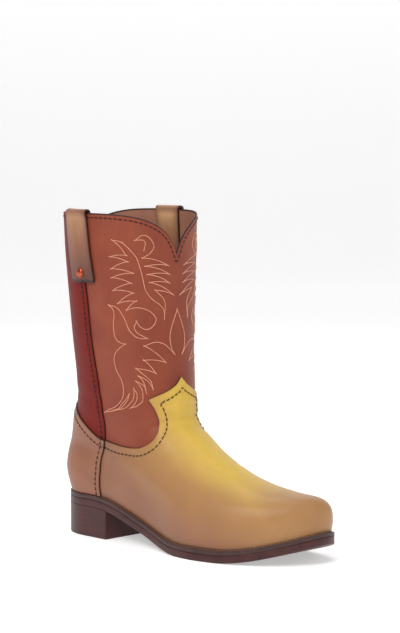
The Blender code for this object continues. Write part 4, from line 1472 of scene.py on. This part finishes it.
SCROLL = [[(51, 221), (43, 223), (35, 222), (28, 218.5), (23.5, 212.5), (26.5, 206.5), (32, 203.5),
           (38, 205.5), (42, 210.5)],
          [(42, 210.5), (44, 205.5), (41.5, 200.5), (32.5, 195)],
          [(32.5, 195), (39, 195), (44.5, 198), (49.5, 204), (53.5, 213.5), (60, 222.5), (68.5, 225)]]
LONG_CURVE = [[(68.5, 225), (63.5, 219.5), (64, 207), (63, 197), (59.5, 191.5), (53.5, 189.5)],
              [(53.5, 189.5), (62, 183), (65, 175.5), (63.5, 165.5), (59.5, 156.5), (58, 148), (60.5, 139),
               (69, 130.5), (84, 124)]]
FLAMES = [[(84, 124), (69, 127), (60, 135), (53, 143)],
          [(53, 143), (56, 136.5), (64, 129), (77, 125)],
          [(77, 125), (60, 129), (51, 136.5), (48, 142.5), (47.5, 148)],
          [(47.5, 148), (45, 144), (46.5, 137), (50, 132), (53, 130)],
          [(53, 130), (46, 132.5), (40.5, 137.5), (39.5, 146), (41.5, 151), (44.5, 154.5)],
          [(44.5, 154.5), (40, 152.5), (37, 150), (36, 145)],
          [(36, 145), (37, 151.5), (39, 156.5), (42, 160)],
          [(42, 160), (37.5, 158), (32.5, 153.5), (29.5, 148.5)],
          [(29.5, 148.5), (31, 155), (35.5, 160), (43.5, 167.5)]]
UPPER_FLAMES = [(43.5, 167.5), (26, 163), (36, 175.5), (15.5, 173), (35, 188)]
LAST_FLAME = [(35, 188), (24.5, 191), (15, 188.5), (5, 180)]
SPEAR = [(0, 220), (4.5, 211), (8.5, 201), (9.5, 192.5), (8, 185), (5, 180)]
BARB_BOW, CURVE_POINTS, BARB_POINTS = 0.12, 10, 12
STROKE_SPACING, ORNAMENT_SEAT = 0.8 * MM, 0.12 * MM


# %% Strokes of the chart
def bowed(points):
    """Zigzag whose sides bow upwards, one short curve for each side."""
    strokes = []
    for start, end in zip(points, points[1:]):
        start, end = np.array(start, float), np.array(end, float)
        step = end - start
        square = np.array([-step[1], step[0]]) * (1 if step[0] > 0 else -1)
        middle = (start + end) / 2 + BARB_BOW * square
        t = np.linspace(0, 1, BARB_POINTS)[:, None]
        strokes.append((1 - t) ** 2 * start + 2 * t * (1 - t) * middle + t**2 * end)
    return strokes


curves = [STEM, FEATHER_TIP, FEATHER_POINT, LAST_FLAME, SPEAR, *HOOK, *SCROLL, *LONG_CURVE, *FLAMES]
ornament = [spline(stroke, CURVE_POINTS) for stroke in curves]
ornament += bowed(OUTER_BARBS) + bowed(INNER_BARBS) + bowed(UPPER_FLAMES)
print("ornament:", len(ornament), "strokes on each side")

# %% Lay the strokes on the shaft
ANKLE_HEIGHT = feather_height(SOLE_EDGE) + ANKLE_RISE
LOW_LEVEL, LOW_SHARE, TURNS_TO_SEAM = 8, -0.084, 160


def on_shaft(chart, side, lift):
    """Points and normals for (distance from the front's middle, height), in millimetres."""
    share = (chart[:, 1] * MM - ANKLE_HEIGHT) / SHAFT_RISE
    level = np.interp(share, [LOW_SHARE] + HEIGHT_SHARES, [LOW_LEVEL] + SHAFT_LEVELS)
    turns = np.linspace(FRONT_U, SEAM_U, TURNS_TO_SEAM)
    u = np.empty(len(chart))
    for k, here in enumerate(level):
        run = sample(SKIN, turns, np.full(turns.shape, here))
        u[k] = np.interp(chart[k, 0] * MM, length_along(run[:, :2]), turns)
    u = u if side < 0 else 1 - u
    normals = unit(sample(SKIN_NORMALS, u, level))
    return sample(SKIN, u, level) + lift * normals, normals


def evened_stroke(points, normals):
    """A stroke with even steps, so that its stitches are even."""
    length = length_along(points)
    marks = np.linspace(0, length[-1], max(int(length[-1] / STROKE_SPACING), 2) + 1)
    return read_at(marks, length, points), read_at(marks, length, normals)


strokes = [evened_stroke(*on_shaft(stroke, side, ORNAMENT_SEAT)) for side in (-1, 1) for stroke in ornament]
sew("ornament_stitches", strokes, ORNAMENT_SEAM, ornament_thread, 4)

# %% Sew the welt
WELT_ROW_INSET, WELT_SEAT, WELT_ROW_START = 1.9 * MM, 0.05 * MM, 0.9
welt_run = sole_ring(WELT_ROW_INSET, OUTSOLE_THICKNESS + FIT + WELT_THICKNESS + WELT_SEAT)
welt_run = welt_run[welt_run[:, 0] > HEEL_LENGTH * WELT_ROW_START - HEEL_LENGTH / 2]
welt_ups = np.tile((0.0, 0.0, 1.0), (len(welt_run), 1))
sew("welt_stitches", [(welt_run, welt_ups)], WELT_SEAM, welt_thread, 5)


# %% [markdown]
# ## Studio
#
# A pale floor that curves up into a backdrop, broad soft lights, and a camera where the picture's
# eye is: low, and turned 45 degrees to the boot's outer side. A long lens keeps the sides of the
# shaft almost parallel. The lens and the place come from the real distances.

# %% Floor and backdrop
PALE = Finish("pale floor", base_color=(0.86, 0.86, 0.86, 1.0), roughness=0.9, specular_ior_level=0.1)
PALE.shader.inputs["Emission Color"].default_value = (1, 1, 1, 1)
FLOOR_GLOW, AIR_LIGHT = 0.42, 0.34
PALE.shader.inputs["Emission Strength"].default_value = FLOOR_GLOW
FLOOR_REACH, BACKDROP_RADIUS, BACKDROP_HEIGHT, HALF_SWEEP = 3.0, 0.8, 3.0, 6.0
VIEW_AZIMUTH, VIEW_ELEVATION = math.radians(45.01), math.radians(5.18)


def make_stage():
    """A sweep: level under the boot, curved up behind it."""
    arc = np.linspace(0, math.pi / 2, 17)
    curve = FLOOR_REACH + BACKDROP_RADIUS * np.sin(arc)
    away = np.concatenate([[-3 * FLOOR_REACH], curve, [FLOOR_REACH + BACKDROP_RADIUS]])
    height = np.concatenate([[0.0], BACKDROP_RADIUS * (1 - np.cos(arc)), [BACKDROP_HEIGHT]])
    back = np.array([-math.sin(VIEW_AZIMUTH), math.cos(VIEW_AZIMUTH), 0])
    right = np.array([math.cos(VIEW_AZIMUTH), math.sin(VIEW_AZIMUTH), 0])
    middle = away[:, None] * back + height[:, None] * (0, 0, 1)
    points = np.stack([middle - HALF_SWEEP * right, middle + HALF_SWEEP * right], axis=1)
    mesh = mesh_of("sweep", points.reshape(-1, 3), grid_faces(len(away), 2))
    mesh.materials.append(PALE.material)
    mesh.shade_smooth()
    new_object("studio_floor", mesh)


make_stage()

# %% Lights
AIM = Vector((0.10371, 0.02072, 0.21302))


def look_from(thing, azimuth, elevation, distance):
    """Set a lamp or the camera at a place round the boot, looking at it."""
    level = math.cos(elevation)
    away = Vector((math.sin(azimuth) * level, -math.cos(azimuth) * level, math.sin(elevation)))
    thing.location = AIM + distance * away
    thing.rotation_euler = (-away).to_track_quat("-Z", "Y").to_euler()


def soft_light(name, azimuth, elevation, distance, size, power):
    """A square area light that looks at the boot."""
    data = bpy.data.lights.new(name, "AREA")
    data.size, data.energy = size, power
    look_from(new_object(name, data), math.radians(azimuth), math.radians(elevation), distance)


soft_light("key", 15, 42, 1.9, 1.1, 21)
soft_light("fill", 100, 25, 2.2, 1.5, 8)
soft_light("rim", -120, 50, 1.8, 0.9, 6)
soft_light("top", 45, 88, 1.8, 1.4, 9)
world = bpy.data.worlds.new("studio air")
world.use_nodes = True
world.node_tree.nodes["Background"].inputs["Color"].default_value = (1, 1, 1, 1)
world.node_tree.nodes["Background"].inputs["Strength"].default_value = AIR_LIGHT
bpy.context.scene.world = world
bpy.context.scene.view_settings.view_transform = "Standard"

# %% Camera
VIEW_DISTANCE, FOCAL_LENGTH, SENSOR = 2.10485, 127.77, 36.0
camera_data = bpy.data.cameras.new("camera")
camera_data.lens, camera_data.sensor_width = FOCAL_LENGTH, SENSOR
camera = new_object("camera", camera_data)
look_from(camera, VIEW_AZIMUTH, VIEW_ELEVATION, VIEW_DISTANCE)
bpy.context.scene.camera = camera
print("camera at", [round(value, 3) for value in camera.location])
